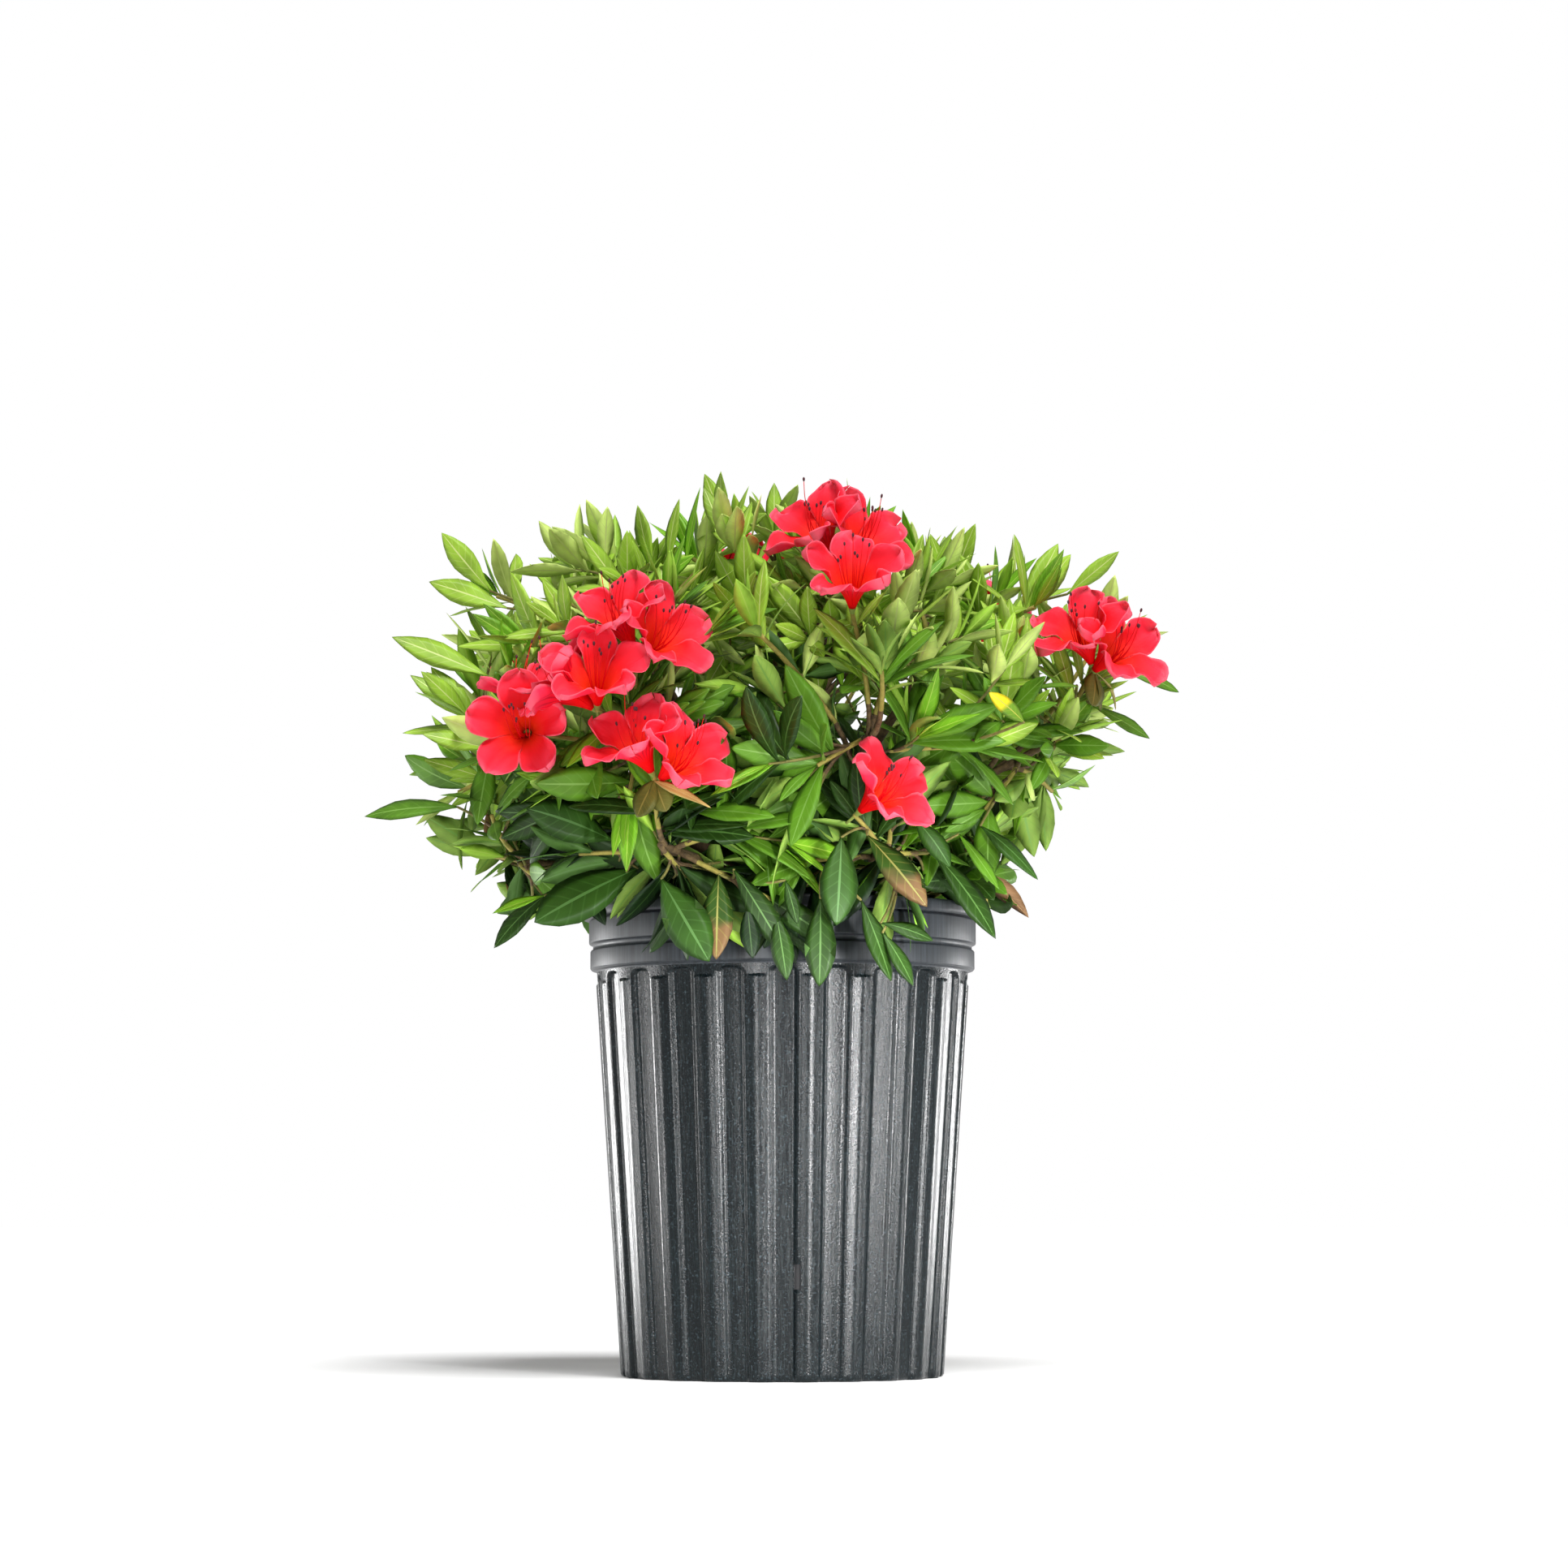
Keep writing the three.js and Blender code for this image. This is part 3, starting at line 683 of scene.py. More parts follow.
# ---- Pot ----
def body_radius(level):
    """The ridges' radius, which grows evenly with the level."""
    return FOOT_RADIUS + BODY_FLARE * level


def inner_radius(level):
    """The wall's inner side: the ridges' radius less the grooves' depth and the wall."""
    return body_radius(level) - FLUTE_DEPTH - WALL


def pot_profile():
    """The body's outer side, then rim, lip and plain inner side, as (radius, level).

    Straight runs have a point every few millimetres, close together where the grooves end in
    arches, and every edge of the rim is a quarter round.
    """
    low = np.concatenate([FOOT_EDGE[0], np.linspace(*PLAIN_ROWS), np.linspace(*ARCH_ROWS)])
    body = np.stack([body_radius(low) + np.interp(low, *FOOT_EDGE), low], 1)
    turn = np.linspace(0, math.pi / 2, 6)
    opening, closing = 1 - np.sin(turn), 1 - np.cos(turn)
    upper = [np.array(RIM_STEP)]
    for radius, low_edge, high_edge, soft in BANDS:
        upper.append(np.stack([radius - soft * opening * 0.8, low_edge + soft * closing * 0.8], 1))
        upper.append(np.stack([radius - soft * closing, high_edge - soft * opening], 1))
        if radius < LIP_RADIUS:
            upper.append(np.array([[BAND_GROOVE, high_edge + 0.6], [BAND_GROOVE, high_edge + 3.2]]))
    inner = [*LIP_INSIDE, (inner_radius(SHOULDER), SHOULDER), (inner_radius(0), FLOOR)]
    return body, np.concatenate([*upper, inner])


def make_pot(plastic, rim, shade):
    """The profile turned about the axis, with flutes and slots pressed into the body.

    A groove's depth rises and falls smoothly at its two slopes, and fades out at an arch whose
    top is a fourth-power curve across the groove. Each ridge is a little crowned.
    """
    pitch = 2 * math.pi / FLUTES
    spokes = FLUTES * FLUTE_STEPS
    regular = np.arange(spokes) / spokes * 2 * math.pi
    half = SLOT_WIDTH / 2 / body_radius(SLOT_MIDDLE)
    centres = FLUTE_START * DEGREE + np.array(SLOT_FLUTES) * pitch
    extra = (centres[:, None] + half * np.array(SLOT_COLUMNS)).ravel() % (2 * math.pi)
    turn = np.sort(np.concatenate([regular, extra]))
    body, upper = pot_profile()
    slot_levels = SLOT_MIDDLE + SLOT_HEIGHT / 2 * np.array(SLOT_ROWS)
    body_rows = np.sort(np.concatenate([body[:, 1], slot_levels]))
    body_radii = np.interp(body_rows, body[:, 1], body[:, 0])
    profile = np.concatenate([np.stack([body_radii, body_rows], 1), upper])
    radius, level = profile[:, :1], profile[:, 1:]
    share = ((turn - FLUTE_START * DEGREE) / pitch) % 1
    into = smooth(RIDGE_SHARE, RIDGE_SHARE + SLOPE_SHARE, share)
    out = smooth(1 - SLOPE_SHARE, 1, share)
    groove = into * (1 - out)
    aside = np.clip((share - (1 + RIDGE_SHARE) / 2) / ((1 - RIDGE_SHARE) / 2), -1, 1)
    arch = 1 - smooth(-2, 0, level - (ARCH_TOP - ARCH_RISE * aside**4))
    outer = np.arange(len(profile))[:, None] < len(body_rows)
    crown = RIDGE_CROWN / 2 * (1 - np.cos(2 * math.pi * np.clip(share / RIDGE_SHARE, 0, 1)))
    pressed = outer * (FLUTE_DEPTH * groove * arch - crown * (share < RIDGE_SHARE) * arch)
    off = np.abs((turn[:, None] - centres + math.pi) % (2 * math.pi) - math.pi).min(1)
    slot = (off < half) * (np.abs(level - SLOT_MIDDLE) < SLOT_HEIGHT / 2) * outer
    reach = radius - pressed - SLOT_DEPTH * slot
    ring = np.stack([reach * np.sin(turn), -reach * np.cos(turn), level + 0 * turn], -1)
    on_rim = np.arange(len(profile) - 1) >= len(body_rows) - 1
    marks = on_rim[:, None].astype(int) + np.zeros((1, len(turn)), int)
    marks = np.where((slot[:-1] > 0) & (slot[1:] > 0), 2, marks)
    start = np.array([[0.0, 0.0, 0.0]])
    end = np.array([[0.0, 0.0, FLOOR]])
    skin = loft(ring[None], start, end, marks)
    return add_piece("pot_shell", skin, (plastic, rim, shade), ["pot"])


# ---- Bark mix ----
def soil_level(radius):
    """Flat round the trunk, then falling evenly to the wall."""
    reach = [SOIL_FLAT_RADIUS, inner_radius(SOIL_EDGE)]
    return np.interp(radius, reach, [SOIL_MIDDLE, SOIL_EDGE])


def make_soil(finish):
    """A lumpy disc on a plain body, with chips of bark lying on it.

    The lumps are two products of sines of x and y, one coarse and one fine, whose phases wander
    with the other coordinate. Chips lie on a golden-angle spiral, evenly dense over the disc.
    """
    turn = np.arange(ROUND_CORNERS) * 2 * math.pi / ROUND_CORNERS
    wall = inner_radius(SOIL_EDGE) - SOIL_CLEAR
    foot = inner_radius(0) - SOIL_CLEAR
    radii = np.linspace(wall, SOIL_HEART, SOIL_RINGS)[:, None] + 0 * turn
    x, y = radii * np.sin(turn), -radii * np.cos(turn)
    lumps = np.sin(x * 0.31 + 1.3 * np.sin(y * 0.17)) * np.sin(y * 0.37 + x * 0.05)
    fine = np.sin(x * 1.1 + 2 * np.sin(y * 0.9)) * np.sin(y * 1.3 + 1.7 * np.sin(x * 0.7))
    top = np.stack([x, y, soil_level(radii) - 2 * SOIL_LIFT + 0.5 * lumps + 0.5 * fine], -1)
    base = FLOOR + SOIL_LIFT
    bottom = np.stack([foot * np.sin(turn), -foot * np.cos(turn), base + 0 * turn], -1)
    rings = np.concatenate([bottom[None], top])
    heart = np.array([[0, 0, SOIL_MIDDLE - SOIL_LIFT]])
    bed = loft(rings[None], np.array([[0, 0, base]]), heart)
    number = np.arange(CHIPS)
    reach = (wall - CHIP_MARGIN) * np.sqrt(0.03 + 0.97 * chance(number, 1))
    around = number * GOLDEN_ANGLE
    middle = heading(around, 0 * around) * reach[:, None]
    middle[:, 2] = soil_level(reach) + SOIL_LIFT
    way = heading(chance(number, 2) * 2 * math.pi, (chance(number, 3) - 0.5) * 0.7)
    length = between(CHIP_LENGTHS, chance(number, 4) ** 2)[:, None]
    paths = np.stack([middle - way * length / 2, middle, middle + way * length / 2], 1)
    chips = tubes(paths, between(CHIP_RADII, chance(number, 5))[:, None], 4)
    return add_piece("bark_mix", joined([bed, chips]), (finish,), ["soil"])


# ---- Trunk and boughs ----
def trunk_middle(level):
    """Points up the trunk, which leans evenly from its foot to the crown's focus."""
    share = (np.asarray(level) - SOIL_MIDDLE) / (TRUNK_TOP - SOIL_MIDDLE)
    x = CROWN_FOCUS[0] - TRUNK_LEAN * (1 - share)
    return np.stack([x, 0 * x, level + 0 * x], -1)


def furrowed(rings, middle, depth, rough):
    """Bark relief: ridges that run along the limb and wander round it, and a few knots.

    A point's distance from the limb's middle grows by two sines of its corner, whose phases
    wander along the limb, and by the cube of a product of sines where that is above nought.
    """
    offset = rings - middle[:, :, None]
    corner = np.arange(rings.shape[2]) * 2 * math.pi / rings.shape[2]
    tall = np.arange(rings.shape[1])[:, None]
    limb = np.arange(rings.shape[0])[:, None, None]
    ridges = np.sin(5 * corner + 1.4 * np.sin(tall * 0.35 + limb) + limb)
    ridges = ridges + 0.6 * np.sin(9 * corner - 0.3 * tall + 2 * limb)
    knots = np.maximum(0, np.sin(tall * 0.55 + limb * 1.7) * np.sin(2 * corner + limb)) ** 3
    swell = 1 + depth * ridges + rough * knots
    return middle[:, :, None] + offset * swell[..., None]


def make_trunk(bark):
    """The lean trunk with its root flare, swept along its middle with furrowed bark."""
    share = np.linspace(0, 1, TRUNK_RINGS)
    level = SOIL_MIDDLE + SOIL_LIFT + share * (TRUNK_TOP - SOIL_MIDDLE - SOIL_LIFT)
    radius = np.interp(share, *TRUNK_RADII)
    turn = np.arange(TRUNK_CORNERS) * 2 * math.pi / TRUNK_CORNERS
    flare = 1 + 0.12 * np.sin(5 * turn) * np.exp(-share[:, None] * 9)
    middle = trunk_middle(level)[None]
    ring = np.stack([np.cos(turn), np.sin(turn), 0 * turn], -1)
    rings = middle[:, :, None] + ring * (radius[:, None] * flare)[None, :, :, None]
    rings = furrowed(rings, middle, *TRUNK_RELIEF)
    skin = loft(rings, middle[:, 0], middle[:, -1] + [0, 0, 1.5])
    return add_piece("trunk_bark", skin, (bark,), ["trunk"])


def make_boughs(masses, bark):
    """Each bough leaves the trunk's middle at its tier's fork and bends out to its mass."""
    start = trunk_middle(masses["fork"])
    end = CROWN_FOCUS + masses["axis"] * STEM_START
    span = np.linalg.norm(end - start, axis=1, keepdims=True)
    bend = end - masses["axis"] * span * BOUGH_BEND
    paths = bent_paths(start, bend, end, BOUGH_RINGS)
    skin = tubes(paths, np.linspace(*BOUGH_RADII, BOUGH_RINGS), BOUGH_CORNERS)
    rings = skin["points"].reshape(len(start), -1, 3)[:, :-2]
    rings = rings.reshape(len(start), BOUGH_RINGS, BOUGH_CORNERS, 3)
    skin = loft(furrowed(rings, paths, *BOUGH_RELIEF), paths[:, 0], end)
    names = [f"bough_{name}" for name in masses["name"]]
    add_piece("bough_bark", skin, (bark,), names)
    return paths


# ---- Crown ----
def crown_reach(azimuth, elevation):
    """A squared dome over a narrower skirt, with a smooth S between them at the skirt's line."""
    across = np.cos(elevation) ** CROWN_SQUARENESS
    upward = np.abs(np.sin(elevation)) ** CROWN_SQUARENESS
    dome = CROWN_RADIUS / (across + upward) ** (1 / CROWN_SQUARENESS)
    line = SKIRT_LINE + SKIRT_TILT * np.sin(azimuth)
    above = smooth(line - SKIRT_BLEND, line + SKIRT_BLEND, elevation / DEGREE)
    skirt = SKIRT_RADIUS - SKIRT_SHIFT * np.sin(azimuth)
    return skirt + (dome - skirt) * above


def crown_point(azimuth, elevation, depth):
    """A point at a depth under the crown's surface, drawn in a little from front to back."""
    reach = crown_reach(azimuth, elevation) - depth
    offset = heading(azimuth, elevation) * reach[..., None]
    offset[..., 1] *= CROWN_DEPTH_SHARE
    return CROWN_FOCUS + offset


def lowest_leaf(azimuth, outward):
    """The level down to which leaves hang.

    It is lowest at front and back, higher beside the pot, and rises outwards past the skirt.
    """
    beside = smooth(*HANG_TURN, np.abs(np.sin(azimuth)))
    return between((HANG_FRONT, HANG_SIDE), beside) + HANG_RISE * np.maximum(0, outward - HANG_REACH)


def in_crown(points):
    """Under the crown's outer surface and no lower than the leaves hang."""
    offset = points - CROWN_FOCUS
    offset[..., 1] /= CROWN_DEPTH_SHARE
    reach = np.linalg.norm(offset, axis=-1)
    azimuth = np.arctan2(offset[..., 0], -offset[..., 1])
    lowest = lowest_leaf(azimuth, np.hypot(offset[..., 0], offset[..., 1]))
    elevation = np.arcsin(np.clip(offset[..., 2] / reach, -1, 1))
    return (points[..., 2] > lowest) & (reach < crown_reach(azimuth, elevation) * CROWN_SLACK)


def lay_out_masses():
    """Names, directions and fork levels of all masses, evenly spaced round each tier."""
    names, axes, forks = [], [], []
    for name, count, elevation, turn, fork in TIERS:
        azimuth = (turn + np.arange(count) * 360 / count) * DEGREE
        names += [f"{name}_{i + 1}" for i in range(count)]
        axes.append(heading(azimuth, elevation * DEGREE))
        forks.append(np.full(count, float(fork)))
    return {"name": names, "axis": np.concatenate(axes), "fork": np.concatenate(forks)}


def spiral_tips(count, depth, skirt_depth, first, skew=1):
    """Tips on a golden-angle spiral over the crown, a little uneven in depth and turn.

    The depth is a share of chance, and a power of it under one puts more of them deep.
    """
    number = np.arange(count)
    lowest = math.sin(CROWN_LOWEST * DEGREE)
    height = 1 - (1 - lowest) * (number + 0.5) / count
    azimuth = (number + first) * GOLDEN_ANGLE + (chance(number + first, 1) - 0.5) * SHOOT_STRAY
    share = chance(number + first, 2) ** skew
    deep = np.where(height < SKIRT_LEVEL, between(skirt_depth, share), between(depth, share))
    return crown_point(azimuth, np.arcsin(height), deep)


def truss_points():
    """The tips of the twigs that carry blossom."""
    azimuth, elevation, depth = np.array([truss[:3] for truss in TRUSSES], float).T
    return crown_point(azimuth * DEGREE, elevation * DEGREE, depth)


def nearest_mass(points, axis):
    """The number of the mass whose direction is closest to each point's."""
    return np.argmax((points - CROWN_FOCUS) @ axis.T, 1)


def grow_shoots(axis):
    """A stem up each mass's middle, and the trusses and shoots that fork from it.

    The stem reaches a share of the way to its farthest tip. The twig that spreads widest forks
    first, and the others in even steps above it.
    """
    shoot_tips = spiral_tips(SHOOTS, SHOOT_DEPTH, SKIRT_SHOOT_DEPTH, 0)
    tips = np.concatenate([truss_points(), shoot_tips])
    mass = nearest_mass(tips, axis)
    forks = np.zeros_like(tips)
    tops = np.zeros_like(axis)
    for number, way in enumerate(axis):
        mine = np.flatnonzero(mass == number)
        offset = tips[mine] - CROWN_FOCUS
        length = (np.linalg.norm(offset, axis=1).max() - STEM_START) * STEM_SHARE
        aside = np.linalg.norm(offset - np.outer(offset @ way, way), axis=1)
        order = mine[np.argsort(-aside, kind="stable")]
        share = np.linspace(FIRST_FORK, LAST_FORK, max(2, len(order)))[: len(order), None]
        forks[order] = CROWN_FOCUS + way * (STEM_START + length * share)
        tops[number] = CROWN_FOCUS + way * (STEM_START + length)
    span = np.linalg.norm(tips - forks, axis=1, keepdims=True)
    shoots = bent_paths(forks, forks + axis[mass] * span * SHOOT_BEND, tips, SHOOT_STEPS)
    feet = CROWN_FOCUS + axis * (STEM_START - 0.3)
    bends = CROWN_FOCUS + axis * (STEM_START + STEM_BEND)
    return bent_paths(feet, bends, tops, STEM_STEPS), shoots, mass


def fork_off(shoots, parent, step, share, tips):
    """Twigs that leave a step of their parent along it, for a share of their own span."""
    forks = shoots[parent, step]
    way = unit(forks - shoots[parent, step - 1])
    span = np.linalg.norm(tips - forks, axis=1, keepdims=True)
    return bent_paths(forks, forks + way * span * share, tips, FINE_STEPS)


def grow_fine_shoots(shoots, mass, axis):
    """Each fine shoot forks from the shoot of its own mass whose tip is nearest.

    One whose mass has no shoot is left out.
    """
    trusses = len(TRUSSES)
    tips = spiral_tips(FINE_SHOOTS, FINE_DEPTH, FINE_SKIRT_DEPTH, FINE_FIRST, FINE_SKEW)
    gap = np.linalg.norm(tips[:, None] - shoots[None, trusses:, -1], axis=-1)
    gap[nearest_mass(tips, axis)[:, None] != mass[None, trusses:]] = np.inf
    near = np.isfinite(gap.min(1))
    tips, parent = tips[near], gap[near].argmin(1) + trusses
    place = between(FINE_FORK, chance(np.arange(len(tips)), 7))
    step = np.round(place * (SHOOT_STEPS - 1)).astype(int)
    return fork_off(shoots, parent, step, FINE_BEND, tips)


def grow_placed_twigs(shoots):
    """Each placed leaf's twig forks from the nearest middle step of any shoot."""
    tips = np.array([leaf[1] for leaf in PLACED_LEAVES], float)
    first, last = PLACED_FORKS
    gap = np.linalg.norm(tips[:, None, None] - shoots[None, :, first:last], axis=-1)
    parent, step = np.divmod(gap.reshape(len(tips), -1).argmin(1), last - first)
    return fork_off(shoots, parent, step + first, PLACED_BEND, tips)


def aged(rings, sides, mark):
    """Marks for a twig's faces: nought on the older part, then the given one."""
    older = np.arange(rings - 1)[:, None] < (rings - 1) * OLDER_SHARE
    return np.where(older, 0, mark) + np.zeros((1, sides), int)


def make_twigs(stems, shoots, fine_shoots, finishes):
    """Stems and the older part of each twig are brown, a shoot ends green and a fine one olive."""
    skins = []
    for paths, radii, sides, mark in (
        (stems, STEM_RADII, 8, 0),
        (shoots, SHOOT_RADII, 6, 1),
        (fine_shoots, FINE_RADII, 5, 2),
    ):
        steps = paths.shape[1]
        skins.append(tubes(paths, np.linspace(*radii, steps), sides, aged(steps, sides, mark)))
    return add_piece("twigs", joined(skins), finishes)


# ---- Leaves ----
# For each kind: half width, where it is widest, how blunt its tip is, V fold and bend.
LEAF_SHAPES = {
    "young": (0.125, 0.5, 1.0, 0.34, 0.15),
    "olive": (0.145, 0.55, 0.94, 0.16, 0.25),
    "mature": (0.158, 0.56, 0.88, 0.15, 0.42),
    "dark": (0.162, 0.57, 0.86, 0.13, 0.5),
    "deep": (0.165, 0.57, 0.86, 0.12, 0.5),
    "broad": (0.21, 0.56, 0.82, 0.08, 0.35),
    "tipped": (0.17, 0.55, 0.86, 0.12, 0.4),
    "mottled": (0.24, 0.5, 0.8, 0.1, 0.3),
    "bronze": (0.4, 0.55, 0.62, 0.1, 0.3),
    "straw": (0.085, 0.4, 1.1, 0.3, 0.55),
    "sear": (0.13, 0.5, 0.95, 0.35, 0.8),
}
# For each kind: upper face, rib and lower face. The dark and deep greens, dealt out low in the
# crown's middle, are partly the leaves' own colour and partly painted shade; the pale olive,
# dealt out high, is partly painted light from above.
LEAF_COLORS = {
    "young": ("72aa22", "a8cc4c", "98c440"),
    "olive": ("91b737", "c4d47c", "cbe378"),
    "mature": ("56841e", "74a040", "88aa48"),
    "dark": ("233f0e", "4c7232", "466a2c"),
    "deep": ("10260b", "2c4c18", "243f14"),
    "broad": ("2b4c14", "4a7434", "46682a"),
    "tipped": ("2b4814", "8a8a44", "486a20"),
    "mottled": ("5f8424", "a8a840", "8a9a38"),
    "bronze": ("64662a", "857c34", "7c7c34"),
    "straw": ("b39f5c", "cdbb7c", "c4b272"),
    "sear": ("80583a", "b08a60", "9a7450"),
}
DRY_TIPS = {"tipped": "6e5434", "mottled": "dcc81c"}
LEAF_ROWS = np.array([0.0, 0.07, 0.2, 0.36, 0.52, 0.68, 0.84, 0.95])
# Points round a leaf's section: the share of its half width, whether it is on the lower face,
# and the finish of the face that starts there.
LEAF_COLUMNS = np.array([1, 0.52, 0.06, -0.06, -0.52, -1, -0.08, 0.08])
LEAF_UNDER = np.array([0, 0, 0, 0, 0, 0, 1, 1])
LEAF_MARKS = np.array([0, 0, 1, 0, 0, 2, 3, 2])
LEAF_THICKNESS = 0.55
PETIOLE = 0.7
PLACED_CLEAR = 5
LIMB_CLEAR = 5
POT_CLEAR = 2
SIDE_THINNING = 0.45
# Tries for each leaf, and by how much it turns on, closes and shortens at each.
ATTEMPTS = 7
TURN_ON = 1.1
CLOSING = 0.09
SHORTENING = 0.05
# Leaves at the tips of shoots, fine shoots and trusses: leaves to a tip, bare end and step along
# the twig, angles that the first and last open to, lengths, and first numbers of twigs and leaves.
WHORLS = (
    (7, 0, 2.6, (0.25, 1.3), (54, 72), 0, 0),
    (7, 0, 2.6, (0.25, 1.35), (44, 64), 200, 9000),
    (11, 12, 4, (0.9, 1.5), (46, 62), 600, 20000),
)
# Small leaves under a truss: kind, shares aside, down and outwards, and length.
TRUSS_LEAVES = (
    ("bronze", (0.5, 1.0, 0.25), 27),
    ("bronze", (-0.45, 1.0, 0.2), 26),
    ("straw", (-1.0, 0.45, 0.35), 55),
)


def leaf_skin(kind, roots, directions, face_up, lengths, number):
    """Leaves as flattened tubes that close at the stalk and the tip.

    The midrib is an arc of even bend, and the leaf twists evenly along it. The half width is a
    power of a sine of the place along. The section is a shallow V whose edges turn down and
    wave. The lower face lies a little below the upper one and meets it at the margins.
    """
    width, widest, blunt, fold, bend = LEAF_SHAPES[kind]
    side = unit(np.cross(face_up, directions))
    upward = np.cross(directions, side)
    bend = bend * between((0.5, 1.5), chance(number, 21))[:, None]
    width = width * between((0.86, 1.14), chance(number, 22))[:, None]
    lengths = lengths[:, None]
    row = LEAF_ROWS[None]
    sine, cosine = np.sin(bend * row)[..., None], np.cos(bend * row)[..., None]
    forward = (lengths * np.sin(bend * row) / bend)[..., None]
    drop = (lengths * (1 - np.cos(bend * row)) / bend)[..., None]
    ribs = roots[:, None] + directions[:, None] * forward - upward[:, None] * drop
    lift = directions[:, None] * sine + upward[:, None] * cosine
    half = lengths * width * np.sin(math.pi * row ** (math.log(0.5) / math.log(widest))) ** blunt
    half = np.maximum(half, PETIOLE)[..., None]
    twist = ((chance(number, 23)[:, None] - 0.5) * 0.7 * row)[..., None]
    turned = side[:, None] * np.cos(twist) + lift * np.sin(twist)
    lift = lift * np.cos(twist) - side[:, None] * np.sin(twist)
    across = LEAF_COLUMNS
    wave = (0.06 * np.sin(row * 9 + 6 * chance(number, 24)[:, None]))[..., None]
    height = half * (fold * np.abs(across) - 0.16 * across**2 + wave * across * np.abs(across))
    height = height - LEAF_THICKNESS * LEAF_UNDER * np.minimum(1, half / 3)
    rings = ribs[:, :, None] + turned[:, :, None] * (half * across)[..., None]
    rings = rings + lift[:, :, None] * height[..., None]
    forward, drop = lengths * np.sin(bend) / bend, lengths * (1 - np.cos(bend)) / bend
    tips = roots + directions * forward - upward * drop
    marks = np.broadcast_to(LEAF_MARKS, (len(LEAF_ROWS) - 1, len(LEAF_MARKS)))
    return loft(rings, roots, tips, marks, across, LEAF_ROWS[:, None])


def leaf_samples(roots, directions, face_up, lengths):
    """Test points along each leaf's midrib and at its widest margins."""
    side = unit(np.cross(face_up, directions))
    upward = np.cross(directions, side)
    along = np.array([0.2, 0.4, 0.6, 0.8, 1.0, 0.5, 0.5])
    aside = np.array([0, 0, 0, 0, 0, 0.16, -0.16])
    drop = 0.16 * along**2
    return (
        roots[:, None]
        + directions[:, None] * (lengths[:, None] * along)[..., None]
        + side[:, None] * (lengths[:, None] * aside)[..., None]
        - upward[:, None] * (lengths[:, None] * drop)[..., None]
    )


def lay_out_blooms(paths):
    """Every bloom's root and facing: the blooms of a truss step back along its twig."""
    roots, facings = [], []
    for (_, _, _, blooms), path in zip(TRUSSES, paths):
        straight = unit(path[-1] - path[0])
        for order, (azimuth, elevation) in enumerate(blooms):
            facings.append(heading(azimuth * DEGREE, elevation * DEGREE))
            roots.append(path[-1] - straight * (BLOOM_BARE + BLOOM_STEP * order))
    return np.array(roots), np.array(facings)


def clear_of_blossom(points, roots, facings):
    """Whether all of a leaf's points keep off the blooms.

    They stay outside each bloom's funnel, out of the space before its mouth and, for a bloom at
    the front, out of the way between its mouth and the front.
    """
    offset = points[:, :, None] - roots
    ahead = np.einsum("ijkl,kl->ijk", offset, facings)
    away = np.linalg.norm(offset - ahead[..., None] * facings, axis=-1)
    wide = (ahead - FUNNEL_WIDENS[0]) / (FUNNEL_WIDENS[1] - FUNNEL_WIDENS[0])
    funnel = between(FUNNEL_RADII, np.clip(wide, 0, 1))
    inside = (ahead > FUNNEL_SPAN[0]) & (ahead < FUNNEL_SPAN[1]) & (away < funnel)
    before = (ahead >= MOUTH_SPAN[0]) & (ahead < MOUTH_SPAN[1]) & (away < MOUTH_RADIUS)
    over = points[:, :, None] - (roots + facings * MOUTH_AHEAD)
    level = np.linalg.norm(over[..., [0, 2]], axis=-1)
    hiding = (roots[:, 1] < FRONT_BLOOMS) & (over[..., 1] < 0) & (level < BLOOM_OUTLINE)
    return ~(inside | before | hiding).any((1, 2))


def clear_of_placed_leaves(points):
    """Whether none of a leaf's points lies before a placed leaf, seen from the front."""
    roots = np.array([leaf[1] for leaf in PLACED_LEAVES], float)
    spans = np.array([leaf[2] for leaf in PLACED_LEAVES], float) - roots
    offset = points[:, :, None] - roots
    level = [0, 2]
    share = (offset[..., level] * spans[:, level]).sum(-1) / (spans[:, level] ** 2).sum(-1)
    nearest = spans * np.clip(share, 0, 1)[..., None]
    beside = np.linalg.norm((offset - nearest)[..., level], axis=-1)
    before = offset[..., 1] < nearest[..., 1] + PLACED_CLEAR
    return ~((beside < PLACED_CLEAR) & before).any((1, 2))


def clear_of_limbs(points, bough_paths):
    """Whether a leaf keeps off the pot's rim and inside, and off the boughs."""
    reach = np.linalg.norm(points[..., :2], axis=-1)
    off_pot = (points[..., 2] > POT_HEIGHT + POT_CLEAR) | (reach > LIP_RADIUS + POT_CLEAR)
    limbs = bough_paths[:, ::3].reshape(-1, 3)
    gap = np.linalg.norm(points[:, :, None] - limbs, axis=-1).min((1, 2))
    return off_pot.all(1) & (gap > LIMB_CLEAR)


def whorl(paths, count, bare, step, opening, lengths, first_twig, first_leaf):
    """One row for each leaf of each twig's tip: its place in the whorl, and what it can be.

    The whorl's axis lies between the twig's end and the straight line of the whole twig.
    """
    ways = unit(unit(paths[:, -1] - paths[:, -2]) + unit(paths[:, -1] - paths[:, 0]))
    order = np.tile(np.arange(count), len(paths))
    tip = np.repeat(np.arange(len(paths)), count)
    return {
        "tip": paths[tip, -1],
        "along": ways[tip],
        "number": (tip + first_twig) * 31 + order + first_leaf,
        "twig": tip + first_twig,
        "order": order,
        "share": order / (count - 1),
        "back": bare + step * order,
        "opening": opening,
        "lengths": lengths,
    }


